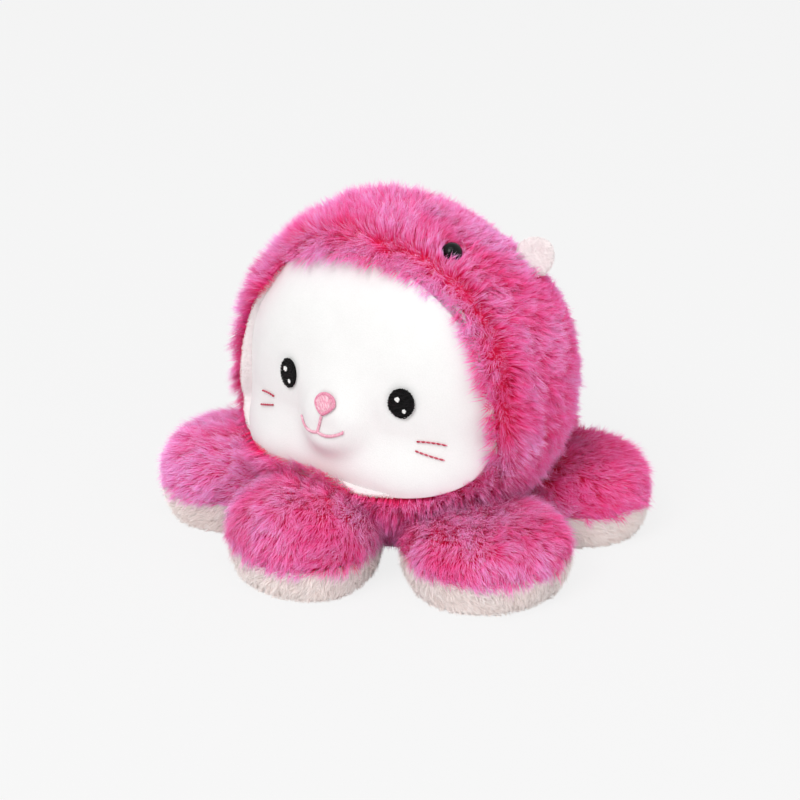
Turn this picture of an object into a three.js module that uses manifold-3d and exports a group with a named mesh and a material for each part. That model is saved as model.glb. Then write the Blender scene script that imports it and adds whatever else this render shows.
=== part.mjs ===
// Stuffed kitten in a furry octopus costume. Millimetres, +Z up, the face looks toward -Y.
import * as THREE from 'three';
import Module from 'manifold-3d';
import { mergeVertices } from 'three/addons/utils/BufferGeometryUtils.js';

const wasm = await Module();
wasm.setup();

// Driving dimensions: body, fabrics and clearances
const BALL_R = 77;
const BALL_SINK = 4;
const FUR_T = 6;
const VELVET_T = 2.2;
const GAP = 0.3;
const FACET_GAP = 0.5;

// Driving dimensions: tentacles
const LOBE_LENGTH = 66;
const LOBE_WIDTH = 72;
const LOBE_TUCK = 15.8;
const LOBE_SEAM_Z = 14;
const LOBE_LIFT_DEG = 10;
const LOBE_DROOP_DEG = 10;
const LOBE_FULLNESS = 2.4;
const LOBE_HEIGHT = 41;
const LOBE_HEIGHT_FRONT = 44;
const LOBE_HEIGHT_FLAT = 35;

// Driving dimensions: ears, costume eyes and embroidery
const EAR_WIDTH = 20;
const EAR_HEIGHT = 13;
const EAR_T = 5;
const EAR_BACK_DEG = 21;
const EAR_TURN_DEG = 6;
const BEAD_R = 4.7;
const BEAD_DOME = 4.6;
const SHANK_R = 1.5;
const WASHER_R = 5.5;
const WASHER_T = 1.2;
const EYE_WIDTH = 13.4;
const EYE_HEIGHT = 14.2;
const GLINT_R = 1.3;
const NOSE_WIDTH = 12.4;
const NOSE_HEIGHT = 9.6;
const MUZZLE_DEPTH = 13.5;
const STITCH_T = 0.8;
const MOUTH_R = 0.75;
const WHISKER_R = 0.55;

// Places tied to the driving dimensions
const BALL_Z = BALL_R - BALL_SINK;
const BASE_Z = BALL_R * 0.156;
const SKIN_R = BALL_R - FUR_T;
const CORE_R = SKIN_R - GAP - FACET_GAP;
const FLOOR_T = FUR_T - 2;
const BASE_R = Math.sqrt(BALL_R ** 2 - (BALL_Z - BASE_Z) ** 2);
const BASE_FLAT_R = BASE_R - BASE_Z;
const OPEN_HALF_W = BALL_R * 0.857;
const OPEN_UP = BALL_R * 0.903;
const OPEN_DOWN = BALL_R * 0.37;
const OPEN_MID = -BALL_R * 0.052;
const HINGE_Z = BALL_R * 0.312;
const HINGE_R = Math.sqrt((BALL_R + GAP) ** 2 - (BALL_Z - HINGE_Z) ** 2);
const LOBE_COUNT = 6;
const LOBE_SPACE = 5;
const LOBE_RING = Math.max(LOBE_WIDTH + LOBE_SPACE, HINGE_R + LOBE_LENGTH * 0.25);
const LOBE_INNER = LOBE_RING - HINGE_R + LOBE_TUCK;
const STITCH_LOW = 0.35;
const STITCH_TOP = STITCH_LOW + STITCH_T;
const BALL_COLS = 28;
const BALL_ROWS = 15;

// Colours as sRGB hex, with roughness
const PINK = [0xde5296, 0.95];
const PALE = [0xf9dcd8, 0.95];
const WHITE = [0xfbfaf8, 0.9];
const EAR_PINK = [0xf6cfd2, 0.9];
const BLACK = [0x0c0b0c, 0.7];
const GLOSS = [0x060606, 0.2];
const ROSE = [0xf0a8c0, 0.7];
const RED = [0xc8395c, 0.7];
const FILL = [0xf4f2ec, 1.0];
const NATURAL = [0xe8e6e0, 0.5];

// Conversion between drawing geometry and solids that can be cut
function solidOf(geometry) {
  const plain = geometry.clone();
  plain.deleteAttribute('normal');
  plain.deleteAttribute('uv');
  const welded = mergeVertices(plain, 1e-4);
  const mesh = new wasm.Mesh({
    numProp: 3,
    vertProperties: new Float32Array(welded.attributes.position.array),
    triVerts: new Uint32Array(welded.index.array),
  });
  return new wasm.Manifold(mesh);
}

function geometryOf(solid) {
  const mesh = solid.getMesh();
  const geometry = new THREE.BufferGeometry();
  geometry.setAttribute('position', new THREE.BufferAttribute(new Float32Array(mesh.vertProperties), 3));
  geometry.setIndex(new THREE.BufferAttribute(new Uint32Array(mesh.triVerts), 1));
  return geometry;
}

function largest(solid) {
  const pieces = solid.decompose();
  return pieces.reduce((best, piece) => (piece.volume() > best.volume() ? piece : best));
}

// Closed form from a start point, rings of equal count and an end point
function ringForm(start, rings, end) {
  const count = rings[0].length;
  const points = [start, ...rings.flat(), end];
  const last = points.length - 1;
  const index = [];
  for (let i = 0; i < count; i += 1) {
    const j = (i + 1) % count;
    index.push(0, 1 + i, 1 + j);
    for (let k = 0; k + 1 < rings.length; k += 1) {
      const a = 1 + k * count;
      const b = a + count;
      index.push(a + i, b + i, b + j, a + i, b + j, a + j);
    }
    const tail = 1 + (rings.length - 1) * count;
    index.push(last, tail + j, tail + i);
  }
  const geometry = new THREE.BufferGeometry().setFromPoints(points);
  geometry.setIndex(index);
  return geometry;
}

// Outward-facing solid from a closed form, whichever way its rings run
function formSolid(start, rings, end) {
  const solid = solidOf(ringForm(start, rings, end));
  if (solid.volume() > 0) {
    return solid;
  }
  const turned = rings.map((ring) => ring.slice().reverse());
  return solidOf(ringForm(start, turned, end));
}

function boxSolid(low, high) {
  const size = new THREE.Vector3().subVectors(high, low);
  const middle = new THREE.Vector3().addVectors(high, low).multiplyScalar(0.5);
  const geometry = new THREE.BoxGeometry(size.x, size.y, size.z);
  geometry.translate(middle.x, middle.y, middle.z);
  return solidOf(geometry);
}

const BIG = BALL_R * 4;

function above(z) {
  return boxSolid(new THREE.Vector3(-BIG, -BIG, z), new THREE.Vector3(BIG, BIG, z + BIG));
}

function below(z) {
  return boxSolid(new THREE.Vector3(-BIG, -BIG, z - BIG), new THREE.Vector3(BIG, BIG, z));
}

function ballGeometry(radius) {
  const geometry = new THREE.SphereGeometry(radius, BALL_COLS, BALL_ROWS);
  geometry.rotateX(Math.PI / 2);
  geometry.translate(0, 0, BALL_Z);
  return geometry;
}

function ball(radius) {
  return solidOf(ballGeometry(radius));
}

// Outline of the face opening, seen from the front
function openingShape(grow) {
  const points = [];
  const count = 36;
  for (let i = 0; i < count; i += 1) {
    const t = (i / count) * Math.PI * 2;
    const c = Math.cos(t);
    const s = Math.sin(t);
    const power = s > 0 ? 2.2 : 4;
    const rise = s > 0 ? OPEN_UP : OPEN_DOWN;
    const x = Math.sign(c) * Math.abs(c) ** (2 / power) * (OPEN_HALF_W + grow);
    const y = Math.sign(s) * Math.abs(s) ** (2 / power) * (rise + grow);
    points.push(new THREE.Vector2(x, y));
  }
  return new THREE.Shape(points);
}

function openingPrism(grow) {
  const geometry = new THREE.ExtrudeGeometry(openingShape(grow), {
    depth: BALL_R * 1.6,
    bevelEnabled: false,
  });
  geometry.rotateX(Math.PI / 2);
  geometry.translate(0, 0, BALL_Z + OPEN_MID);
  return solidOf(geometry);
}

// Depth of the padded face in front of the body centre, at a place across and up from that centre
function smooth(t) {
  const x = Math.min(Math.max(t, 0), 1);
  return x * x * (3 - 2 * x);
}

const FACE_A = BALL_R * 0.909;
const FACE_UP = BALL_R * 1.18;
const FACE_DOWN = BALL_R * 0.909;
const FACE_MID = -BALL_R * 0.182;
const FACE_DEPTH = BALL_R * 0.701;
const CHIN_DEPTH = BALL_R * 0.104;
const MUZZLE_A = BALL_R * 0.273;
const MUZZLE_B = BALL_R * 0.234;
const MUZZLE_MID = -BALL_R * 0.078;
const FACE_POWER = 2.6;

function faceDepth(x, h) {
  const full = FACE_DEPTH + CHIN_DEPTH * smooth((-h - BALL_R * 0.065) / (BALL_R * 0.325));
  const reach = h > FACE_MID ? FACE_UP : FACE_DOWN;
  const across = Math.abs(x / FACE_A) ** FACE_POWER;
  const up = Math.abs((h - FACE_MID) / reach) ** FACE_POWER;
  const dome = full * Math.max(1 - across - up, 0.001) ** (1 / FACE_POWER);
  const spot = (x / MUZZLE_A) ** 2 + ((h - MUZZLE_MID) / MUZZLE_B) ** 2;
  return dome + MUZZLE_DEPTH * Math.exp(-(spot ** 1.6));
}

function onFace(x, h, lift) {
  return new THREE.Vector3(x, -(faceDepth(x, h) + lift), BALL_Z + h);
}

// All space in front of the face surface, moved forward by the lift
function frontOfFace(lift) {
  const count = 24;
  const steps = [0.1, 0.2, 0.3, 0.41, 0.54, 0.69, 0.85, 1];
  const middle = -BALL_R * 0.104;
  const rings = steps.map((step) => {
    const ring = [];
    for (let i = 0; i < count; i += 1) {
      const t = (i / count) * Math.PI * 2;
      const reach = Math.sin(t) > 0 ? BALL_R * 1.013 : BALL_R * 0.805;
      ring.push(onFace(BALL_R * 0.896 * step * Math.cos(t), middle + reach * step * Math.sin(t), lift));
    }
    return ring;
  });
  const edge = rings[rings.length - 1].map((point) => new THREE.Vector3(point.x, -BALL_R * 1.5, point.z));
  const far = new THREE.Vector3(0, -BALL_R * 1.5, BALL_Z + middle);
  return formSolid(onFace(0, middle, lift), [...rings, edge], far);
}

// Local frame on the ball, with one axis outward
function outwardFrame(direction, across) {
  const up = direction.clone().normalize();
  const side = across.clone().addScaledVector(up, -across.dot(up)).normalize();
  const front = new THREE.Vector3().crossVectors(side, up);
  return new THREE.Matrix4().makeBasis(side, up, front);
}

const parts = [];

function addPart(name, solid, look) {
  const [color, roughness] = look;
  const material = new THREE.MeshStandardMaterial({ color, roughness, metalness: 0 });
  const mesh = new THREE.Mesh(geometryOf(largest(solid)), material);
  mesh.name = name;
  parts.push(mesh);
}

// Costume eyes, their shanks, washers and the pockets they sit in
const BEAD_DIR = new THREE.Vector3(0.426, -0.162, 0.89).normalize();
const BEAD_SEAT = BALL_R - BEAD_DOME * 0.62;
const WASHER_SEAT = SKIN_R - FACET_GAP - GAP - WASHER_R ** 2 / (2 * SKIN_R);
const SHANK_END = WASHER_SEAT - WASHER_T - GAP * 2;

function lathe(profile, segments) {
  return new THREE.LatheGeometry(profile.map(([r, y]) => new THREE.Vector2(r, y)), segments);
}

function placed(geometry, direction) {
  const frame = outwardFrame(direction, new THREE.Vector3(1, 0, 0));
  geometry.applyMatrix4(frame);
  geometry.translate(0, 0, BALL_Z);
  return solidOf(geometry);
}

function beadGeometry() {
  const profile = [[0, SHANK_END], [SHANK_R, SHANK_END], [SHANK_R, BEAD_SEAT]];
  const steps = 5;
  for (let i = 0; i < steps; i += 1) {
    const t = (i / steps) * Math.PI / 2;
    profile.push([BEAD_R * Math.cos(t), BEAD_SEAT + BEAD_DOME * Math.sin(t)]);
  }
  profile.push([0, BEAD_SEAT + BEAD_DOME]);
  return lathe(profile, 16);
}

function pocketGeometry(radius, low, high) {
  return lathe([[0, low], [radius, low], [radius, high], [0, high]], 16);
}

function washerGeometry() {
  const low = WASHER_SEAT - WASHER_T;
  const hole = SHANK_R + GAP;
  const loop = [[hole, low], [WASHER_R, low], [WASHER_R, WASHER_SEAT], [hole, WASHER_SEAT], [hole, low]];
  return lathe(loop, 16);
}

const sides = [['left', 1], ['right', -1]];
let beadPockets = null;
let corePockets = null;
for (const [side, sign] of sides) {
  const direction = BEAD_DIR.clone().multiply(new THREE.Vector3(sign, 1, 1));
  addPart(`costume_eye_${side}`, placed(beadGeometry(), direction), GLOSS);
  addPart(`eye_washer_${side}`, placed(washerGeometry(), direction), NATURAL);
  const seat = pocketGeometry(BEAD_R + GAP, BEAD_SEAT - GAP, BALL_R * 1.2);
  const hole = pocketGeometry(SHANK_R + GAP, SKIN_R * 0.8, BALL_R);
  const both = placed(seat, direction).add(placed(hole, direction));
  beadPockets = beadPockets ? beadPockets.add(both) : both;
  const room = pocketGeometry(WASHER_R + GAP, SHANK_END - GAP, BALL_R);
  const inner = placed(room, direction);
  corePockets = corePockets ? corePockets.add(inner) : inner;
}

// Face, its binding and the stuffing behind it
const clip = ball(CORE_R).add(openingPrism(-GAP));
const faceFront = frontOfFace(0);
const facePanel = clip.intersect(frontOfFace(-VELVET_T)).subtract(faceFront);
addPart('face_panel', facePanel, WHITE);

const bindingRing = ball(BALL_R - FUR_T * 0.3).subtract(ball(SKIN_R));
const binding = bindingRing.intersect(openingPrism(VELVET_T)).subtract(openingPrism(0));
addPart('face_binding', binding, PALE);

const stuffing = clip.subtract(frontOfFace(-VELVET_T - GAP)).intersect(above(FLOOR_T + GAP));
addPart('body_stuffing', stuffing.subtract(corePockets), FILL);

// Hood in three panels: a front band and two back halves, split at the cross seam and the centre back seam
const HOOD_SEAM_Y = -BALL_R * 0.065;
const shell = ball(BALL_R).subtract(ball(SKIN_R));
const hood = shell
  .intersect(above(BASE_Z + GAP))
  .subtract(openingPrism(VELVET_T + GAP))
  .subtract(beadPockets);

function behindSeam(shift) {
  const geometry = new THREE.BoxGeometry(BIG, BIG, BIG);
  geometry.translate(0, HOOD_SEAM_Y + BIG / 2 + shift, BALL_Z);
  return solidOf(geometry);
}

function leftOf(x) {
  return boxSolid(new THREE.Vector3(x, -BIG, -BIG), new THREE.Vector3(x + BIG, BIG, BIG));
}

function rightOf(x) {
  return boxSolid(new THREE.Vector3(x - BIG, -BIG, -BIG), new THREE.Vector3(x, BIG, BIG));
}

addPart('hood_front_band', hood.subtract(behindSeam(-GAP / 2)), PINK);
const hoodBack = hood.intersect(behindSeam(GAP / 2));
addPart('hood_back_left', hoodBack.intersect(leftOf(GAP / 2)), PINK);
addPart('hood_back_right', hoodBack.intersect(rightOf(-GAP / 2)), PINK);

// Base panel under the body, flat where it stands
function baseGeometry(grow) {
  const profile = [[0, -grow], [BASE_FLAT_R + grow, -grow]];
  const steps = 4;
  for (let i = 1; i <= steps; i += 1) {
    const t = (i / steps) * Math.PI / 2;
    const r = BASE_FLAT_R + grow + (BASE_R - BASE_FLAT_R) * Math.sin(t);
    profile.push([r, -grow + BASE_Z * (1 - Math.cos(t))]);
  }
  profile.push([BASE_R + grow, BASE_Z], [0, BASE_Z]);
  const geometry = lathe(profile, BALL_COLS);
  geometry.rotateX(Math.PI / 2);
  return geometry;
}

const baseRoom = ball(SKIN_R).intersect(above(FLOOR_T));
addPart('base_panel', solidOf(baseGeometry(0)).subtract(baseRoom), PALE);

// Embroidery that lies on the face surface
const stitchRoom = frontOfFace(GAP);

function patch(centerX, centerH, outline, low, high, steps) {
  const ringAt = (fraction, lift) => outline.map(([dx, dh]) => {
    return onFace(centerX + dx * fraction, centerH + dh * fraction, lift);
  });
  const out = steps.map((step) => ringAt(step, low));
  const back = steps.slice().reverse().map((step) => ringAt(step, step === 1 ? high - STITCH_T / 3 : high));
  return formSolid(onFace(centerX, centerH, low), [...out, ...back], onFace(centerX, centerH, high));
}

function ovalOutline(width, height, count) {
  return Array.from({ length: count }, (unused, i) => {
    const t = (i / count) * Math.PI * 2;
    return [width / 2 * Math.cos(t), height / 2 * Math.sin(t)];
  });
}

function noseOutline(count) {
  return ovalOutline(NOSE_WIDTH, NOSE_HEIGHT, count).map(([x, h]) => {
    const narrow = h < 0 ? 1 - 0.55 * (-2 * h / NOSE_HEIGHT) ** 1.2 : 1;
    return [x * narrow, h];
  });
}

const EYE_X = BALL_R * 0.39;
const EYE_H = BALL_R * 0.119;
const NOSE_H = BALL_R * 0.062;
for (const [side, sign] of sides) {
  const spot = sign * EYE_X;
  const eye = patch(spot, EYE_H, ovalOutline(EYE_WIDTH, EYE_HEIGHT, 18), 0, STITCH_TOP, [0.5, 1]);
  addPart(`eye_${side}`, eye.intersect(stitchRoom), BLACK);
  const glintLow = STITCH_TOP + GAP;
  const glintTop = glintLow + STITCH_T * 0.6;
  const dot = ovalOutline(GLINT_R * 2, GLINT_R * 2, 8);
  const small = ovalOutline(GLINT_R * 1.6, GLINT_R * 1.6, 8);
  const aside = EYE_WIDTH * 0.14;
  addPart(`eye_${side}_glint_upper`, patch(spot - aside, EYE_H + EYE_HEIGHT * 0.13, dot,
    glintLow, glintTop, [1]), WHITE);
  addPart(`eye_${side}_glint_lower`, patch(spot + aside, EYE_H - EYE_HEIGHT * 0.24, small,
    glintLow, glintTop, [1]), WHITE);
}
const nose = patch(0, NOSE_H, noseOutline(18), 0, STITCH_TOP, [0.5, 1]);
addPart('nose', nose.intersect(stitchRoom), ROSE);

// A stitched line that follows points on the face
function stitchLine(points, radius) {
  const count = 6;
  const path = points.map(([x, h]) => onFace(x, h, radius + STITCH_LOW));
  const rings = path.map((point, i) => {
    const ahead = path[Math.min(i + 1, path.length - 1)];
    const behind = path[Math.max(i - 1, 0)];
    const along = new THREE.Vector3().subVectors(ahead, behind).normalize();
    const out = new THREE.Vector3(0, -1, 0);
    const side = new THREE.Vector3().crossVectors(along, out).normalize();
    const lift = new THREE.Vector3().crossVectors(side, along);
    return Array.from({ length: count }, (unused, k) => {
      const t = (k / count) * Math.PI * 2;
      const turn = side.clone().multiplyScalar(radius * Math.cos(t));
      return point.clone().add(turn).addScaledVector(lift, radius * Math.sin(t));
    });
  });
  return formSolid(path[0], rings, path[path.length - 1]).intersect(stitchRoom);
}

const MOUTH_HALF = BALL_R * 0.155;
const MOUTH_TOP = -BALL_R * 0.064;
const MOUTH_DIP = BALL_R * 0.042;
const smile = [];
const SMILE_STEPS = 14;
for (let i = 0; i <= SMILE_STEPS; i += 1) {
  const s = -1 + (2 * i) / SMILE_STEPS;
  const wave = Math.sin(Math.PI * Math.min(Math.abs(s) * 0.72 + 0.28, 1)) ** 0.9;
  smile.push([MOUTH_HALF * s, MOUTH_TOP - MOUTH_DIP * wave]);
}
const stemTop = NOSE_H - NOSE_HEIGHT / 2 - GAP - MOUTH_R;
const stemLow = smile[SMILE_STEPS / 2][1];
const stem = [[0, stemTop], [0, (stemTop + stemLow) / 2], [0, stemLow]];
addPart('mouth', stitchLine(smile, MOUTH_R).add(stitchLine(stem, MOUTH_R)), ROSE);

const WHISKER_NEAR = BALL_R * 0.51;
const WHISKER_FAR = BALL_R * 0.665;
for (const [side, sign] of sides) {
  const upper = [];
  const lower = [];
  for (let i = 0; i <= 5; i += 1) {
    const t = i / 5;
    const x = sign * (WHISKER_NEAR + (WHISKER_FAR - WHISKER_NEAR) * t);
    upper.push([x, -BALL_R * (0.098 - 0.03 * t * (1 - t) + 0.012 * t)]);
    lower.push([x, -BALL_R * (0.15 + 0.042 * t)]);
  }
  addPart(`whisker_${side}_upper`, stitchLine(upper, WHISKER_R), RED);
  addPart(`whisker_${side}_lower`, stitchLine(lower, WHISKER_R), RED);
}

// Ears: a rounded outline cut to a section with a round root, split into front and back panels.
// The hood sits turned and tipped a little, so the left ear is further back and higher
const EAR_UP = BALL_R * 0.67;
const EAR_TIP = BALL_R * 0.04;
const EAR_LEAN = 0.3;
const EAR_ROOT = GAP + EAR_T / 2;

function earOutline() {
  const half = EAR_WIDTH / 2;
  const shape = new THREE.Shape();
  shape.moveTo(-half, 0);
  shape.quadraticCurveTo(-half * 0.78, EAR_HEIGHT * 0.55, -half * 0.24, EAR_HEIGHT * 0.94);
  shape.quadraticCurveTo(0, EAR_HEIGHT * 1.06, half * 0.24, EAR_HEIGHT * 0.94);
  shape.quadraticCurveTo(half * 0.78, EAR_HEIGHT * 0.55, half, 0);
  shape.closePath();
  return shape;
}

function earSection() {
  const half = EAR_T / 2;
  const shape = new THREE.Shape();
  shape.absarc(0, EAR_ROOT, half, Math.PI, Math.PI * 2, false);
  shape.lineTo(half * 0.55, EAR_HEIGHT * 1.2);
  shape.lineTo(-half * 0.55, EAR_HEIGHT * 1.2);
  shape.closePath();
  return shape;
}

for (const [side, sign] of sides) {
  const rise = EAR_UP + sign * EAR_TIP;
  const flat = Math.sqrt(BALL_R ** 2 - rise ** 2);
  const back = THREE.MathUtils.degToRad(EAR_BACK_DEG + sign * EAR_TURN_DEG);
  const out = new THREE.Vector3(sign * flat * Math.cos(back), flat * Math.sin(back), rise);
  const lean = out.clone().normalize().add(new THREE.Vector3(0, EAR_LEAN, 0));
  const along = new THREE.Vector3(out.z, 0, -out.x);
  const frame = outwardFrame(lean, along);
  const place = (geometry) => {
    geometry.applyMatrix4(frame);
    geometry.translate(out.x, out.y, out.z + BALL_Z);
    return solidOf(geometry);
  };
  const plain = { bevelEnabled: false, curveSegments: 5 };
  const outline = new THREE.ExtrudeGeometry(earOutline(), { depth: EAR_T * 2, ...plain });
  outline.translate(0, 0, -EAR_T);
  const section = new THREE.ExtrudeGeometry(earSection(), { depth: EAR_WIDTH * 2, ...plain });
  section.translate(0, 0, -EAR_WIDTH);
  section.rotateY(Math.PI / 2);
  const ear = place(outline).intersect(place(section)).subtract(ball(BALL_R + GAP));
  const frontBox = new THREE.BoxGeometry(BIG, BIG, BIG);
  frontBox.translate(0, 0, BIG / 2 + GAP / 2);
  const backBox = new THREE.BoxGeometry(BIG, BIG, BIG);
  backBox.translate(0, 0, -BIG / 2 - GAP / 2);
  addPart(`ear_${side}_front`, ear.intersect(place(frontBox)), EAR_PINK);
  addPart(`ear_${side}_back`, ear.intersect(place(backBox)), EAR_PINK);
}

// Tentacles: a pillow form with a flat sole, cut clear of the body through the whole swing
const lobes = [
  ['front', 0, LOBE_HEIGHT_FRONT],
  ['left_front', 1, LOBE_HEIGHT_FLAT],
  ['left_rear', 2, LOBE_HEIGHT],
  ['back', 3, LOBE_HEIGHT],
  ['right_rear', 4, LOBE_HEIGHT],
  ['right_front', 5, LOBE_HEIGHT_FRONT],
];

function lobeForm(inset, height) {
  const count = 16;
  const rise = height - inset - LOBE_SEAM_Z;
  const drop = LOBE_SEAM_Z - inset;
  const levels = [];
  const upSteps = 4;
  for (let k = 1; k <= upSteps; k += 1) {
    const t = (k / upSteps) * Math.PI / 2;
    const spread = Math.sin(t) ** (2 / LOBE_FULLNESS);
    levels.push([spread, LOBE_SEAM_Z + rise * Math.cos(t) ** (2 / LOBE_FULLNESS)]);
  }
  const downSteps = 2;
  for (let k = 1; k <= downSteps; k += 1) {
    const t = (k / downSteps) * Math.PI / 2;
    levels.push([0.76 + 0.24 * Math.cos(t), LOBE_SEAM_Z - drop * Math.sin(t)]);
  }
  const rings = levels.map(([spread, z]) => Array.from({ length: count }, (unused, i) => {
    const t = (i / count) * Math.PI * 2;
    const reach = Math.cos(t) > 0 ? LOBE_LENGTH / 2 : LOBE_INNER;
    const x = LOBE_RING + (reach - inset) * spread * Math.cos(t);
    return new THREE.Vector3(x, (LOBE_WIDTH / 2 - inset) * spread * Math.sin(t), z);
  }));
  const top = new THREE.Vector3(LOBE_RING, 0, LOBE_SEAM_Z + rise);
  return formSolid(top, rings, new THREE.Vector3(LOBE_RING, 0, inset));
}

// The body as a swung tentacle would meet it, facet for facet
function bodySwung(swingDeg, turnDeg) {
  const lift = new THREE.Matrix4().makeRotationY(THREE.MathUtils.degToRad(swingDeg));
  const there = new THREE.Matrix4().makeTranslation(HINGE_R, 0, HINGE_Z);
  const back = new THREE.Matrix4().makeTranslation(-HINGE_R, 0, -HINGE_Z);
  const swing = there.multiply(lift).multiply(back);
  const turn = new THREE.Matrix4().makeRotationZ(THREE.MathUtils.degToRad(-turnDeg));
  const round = ballGeometry(BALL_R + FACET_GAP).applyMatrix4(turn).applyMatrix4(swing);
  const base = baseGeometry(FACET_GAP).applyMatrix4(turn).applyMatrix4(swing);
  return solidOf(round).add(solidOf(base));
}

for (const [name, step, height] of lobes) {
  const turnDeg = (step * 360) / LOBE_COUNT - 90;
  const bodyCut = bodySwung(0, turnDeg)
    .add(bodySwung(LOBE_LIFT_DEG, turnDeg))
    .add(bodySwung(-LOBE_DROOP_DEG, turnDeg));
  const outer = lobeForm(0, height);
  const skin = outer.subtract(lobeForm(FUR_T, height)).subtract(bodyCut);
  const fill = lobeForm(FUR_T + GAP + FACET_GAP / 2, height).subtract(bodyCut);
  const turned = (solid) => solid.rotate([0, 0, turnDeg]);
  addPart(`tentacle_${name}_upper`, turned(skin.intersect(above(LOBE_SEAM_Z + GAP / 2))), PINK);
  addPart(`tentacle_${name}_sole`, turned(skin.intersect(below(LOBE_SEAM_Z - GAP / 2))), PALE);
  addPart(`tentacle_${name}_stuffing`, turned(fill), FILL);
}

const toy = new THREE.Group();
toy.name = 'octopus_kitten';
for (const mesh of parts) {
  toy.add(mesh);
}

export default toy;
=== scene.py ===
# Looks of a plush kitten in a furry octopus costume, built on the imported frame.
# Shapes are worked out in millimetres and handed to Blender in metres.
import math

import bpy
import numpy as np
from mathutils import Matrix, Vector, kdtree


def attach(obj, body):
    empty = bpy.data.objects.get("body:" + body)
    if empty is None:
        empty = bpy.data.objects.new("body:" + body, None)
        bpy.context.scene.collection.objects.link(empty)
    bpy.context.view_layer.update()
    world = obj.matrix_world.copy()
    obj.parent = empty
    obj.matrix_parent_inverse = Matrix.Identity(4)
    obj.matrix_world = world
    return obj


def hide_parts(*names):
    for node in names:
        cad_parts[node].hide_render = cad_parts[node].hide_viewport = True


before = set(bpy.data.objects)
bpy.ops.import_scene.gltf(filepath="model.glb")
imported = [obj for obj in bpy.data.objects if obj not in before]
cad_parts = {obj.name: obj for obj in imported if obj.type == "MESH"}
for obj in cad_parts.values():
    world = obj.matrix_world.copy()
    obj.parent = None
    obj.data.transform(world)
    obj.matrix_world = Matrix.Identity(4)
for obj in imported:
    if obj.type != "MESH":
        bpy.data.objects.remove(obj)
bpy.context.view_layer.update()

MM = 0.001
# Sizes repeated from the part's source, in millimetres
BALL_R = 77.0
BALL_Z = BALL_R - 4.0
FUR_T = 6.0
SKIN_R = BALL_R - FUR_T
GAP = 0.3
BASE_Z = BALL_R * 0.156
BASE_R = math.sqrt(BALL_R**2 - (BALL_Z - BASE_Z) ** 2)
BASE_FLAT_R = BASE_R - BASE_Z
OPEN_HALF_W = BALL_R * 0.857
OPEN_UP = BALL_R * 0.903
OPEN_DOWN = BALL_R * 0.37
OPEN_MID = -BALL_R * 0.052
HINGE_Z = BALL_R * 0.312
HINGE_R = math.sqrt((BALL_R + GAP) ** 2 - (BALL_Z - HINGE_Z) ** 2)
LOBE_LENGTH = 66.0
LOBE_WIDTH = 72.0
LOBE_RING = LOBE_WIDTH + 5.0
LOBE_SEAM_Z = 16.0
LOBE_FULLNESS = 2.4
LOBE_SWING = (0.0, 10.0, -10.0)
EAR_WIDTH = 20.0
EAR_HEIGHT = 13.0
EAR_UP = BALL_R * 0.67
EAR_TIP = BALL_R * 0.04
EAR_BACK = math.radians(21.0)
EAR_TURN = math.radians(6.0)
EAR_LEAN = 0.3
HOOD_SEAM_Y = -BALL_R * 0.065
BEAD_R = 4.7
BEAD_DOME = 4.6
BEAD_SEAT = BALL_R - 0.62 * BEAD_DOME
SHANK_R = 1.5
SHANK_END = 67.3
EYE_WIDTH = 11.6
EYE_HEIGHT = 13.4
EYE_SHIFT = 2.1
EYE_X = BALL_R * 0.39
EYE_H = BALL_R * 0.119
NOSE_WIDTH = 9.8
NOSE_HEIGHT = 7.9
NOSE_X = -0.9
NOSE_H = BALL_R * 0.054

# Shapes of the looks alone
# Tentacles: name, place in the ring, height, shares of the width on each side and of the reach, tone. The tone is
# painted shade on the left rear tentacle and painted light on the right front one
LOBES = (
    ("front", 0, 44.0, (1.02, 0.79, 0.80), 0.0),
    ("left_front", 1, 35.0, (0.94, 1.10, 1.02), 0.0),
    ("left_rear", 2, 38.0, (0.90, 0.97, 1.0), -0.50),
    ("back", 3, 41.0, (1.0, 1.0, 1.0), 0.0),
    ("right_rear", 4, 41.0, (1.0, 1.0, 1.0), 0.0),
    ("right_front", 5, 42.2, (0.97, 0.87, 1.07), 0.34),
)
UPPER_INSET = 3.4
SOLE_INSET = 1.6
CLOTH_T = 1.0
BASE_INSET = 3.0
BASE_T = 1.2
EYE_SLANT = 24.0
RIM_R = 72.9
FACE_EDGE_R = SKIN_R - 0.4
OPEN_POWERS = (2.2, 4.0)
COVER_FADE = 2.5
SIDES = (("left", 1.0), ("right", -1.0))
CENTRE = np.array([0.0, 0.0, BALL_Z])
FACE_DIR = np.array([0.0, -0.985, 0.17])
DOWN = np.array([0.0, 0.0, -1.0])
FLATTER = np.array([0.69, 0.69, 0.20])

# Soft spots in front view: height, place across and up from the ball's middle, width, tallness
DRAWN_SPOTS = ((8.0, -44.0, 36.0, 20.0, 18.0), (1.6, -64.0, -6.0, 14.0, 26.0))
OVERHANG_SPOTS = ((-0.55, 34.0, -36.0, 26.0, 15.0),)
START_SPOTS = (
    (-2.0, -38.0, 44.0, 18.0, 14.0),
    (-5.2, -28.0, -34.0, 25.0, 11.0),
    (0.4, 26.0, -33.0, 15.0, 10.0),
    (1.2, -62.0, -8.0, 14.0, 24.0),
    (3.6, 64.0, -2.0, 16.0, 22.0),
    (2.8, 36.0, 42.0, 26.0, 18.0),
)
# Fullness of the hood: direction, spread in radians, rise, change of the pile's length
SWELLS = (
    ((-0.45, 0.0, 0.893), 0.50, 3.2, 0.13),
    ((-0.80, -0.47, -0.36), 0.42, 3.2, 0.08),
    ((0.278, 0.628, 0.726), 0.42, -2.2, -0.46),
)

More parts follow.
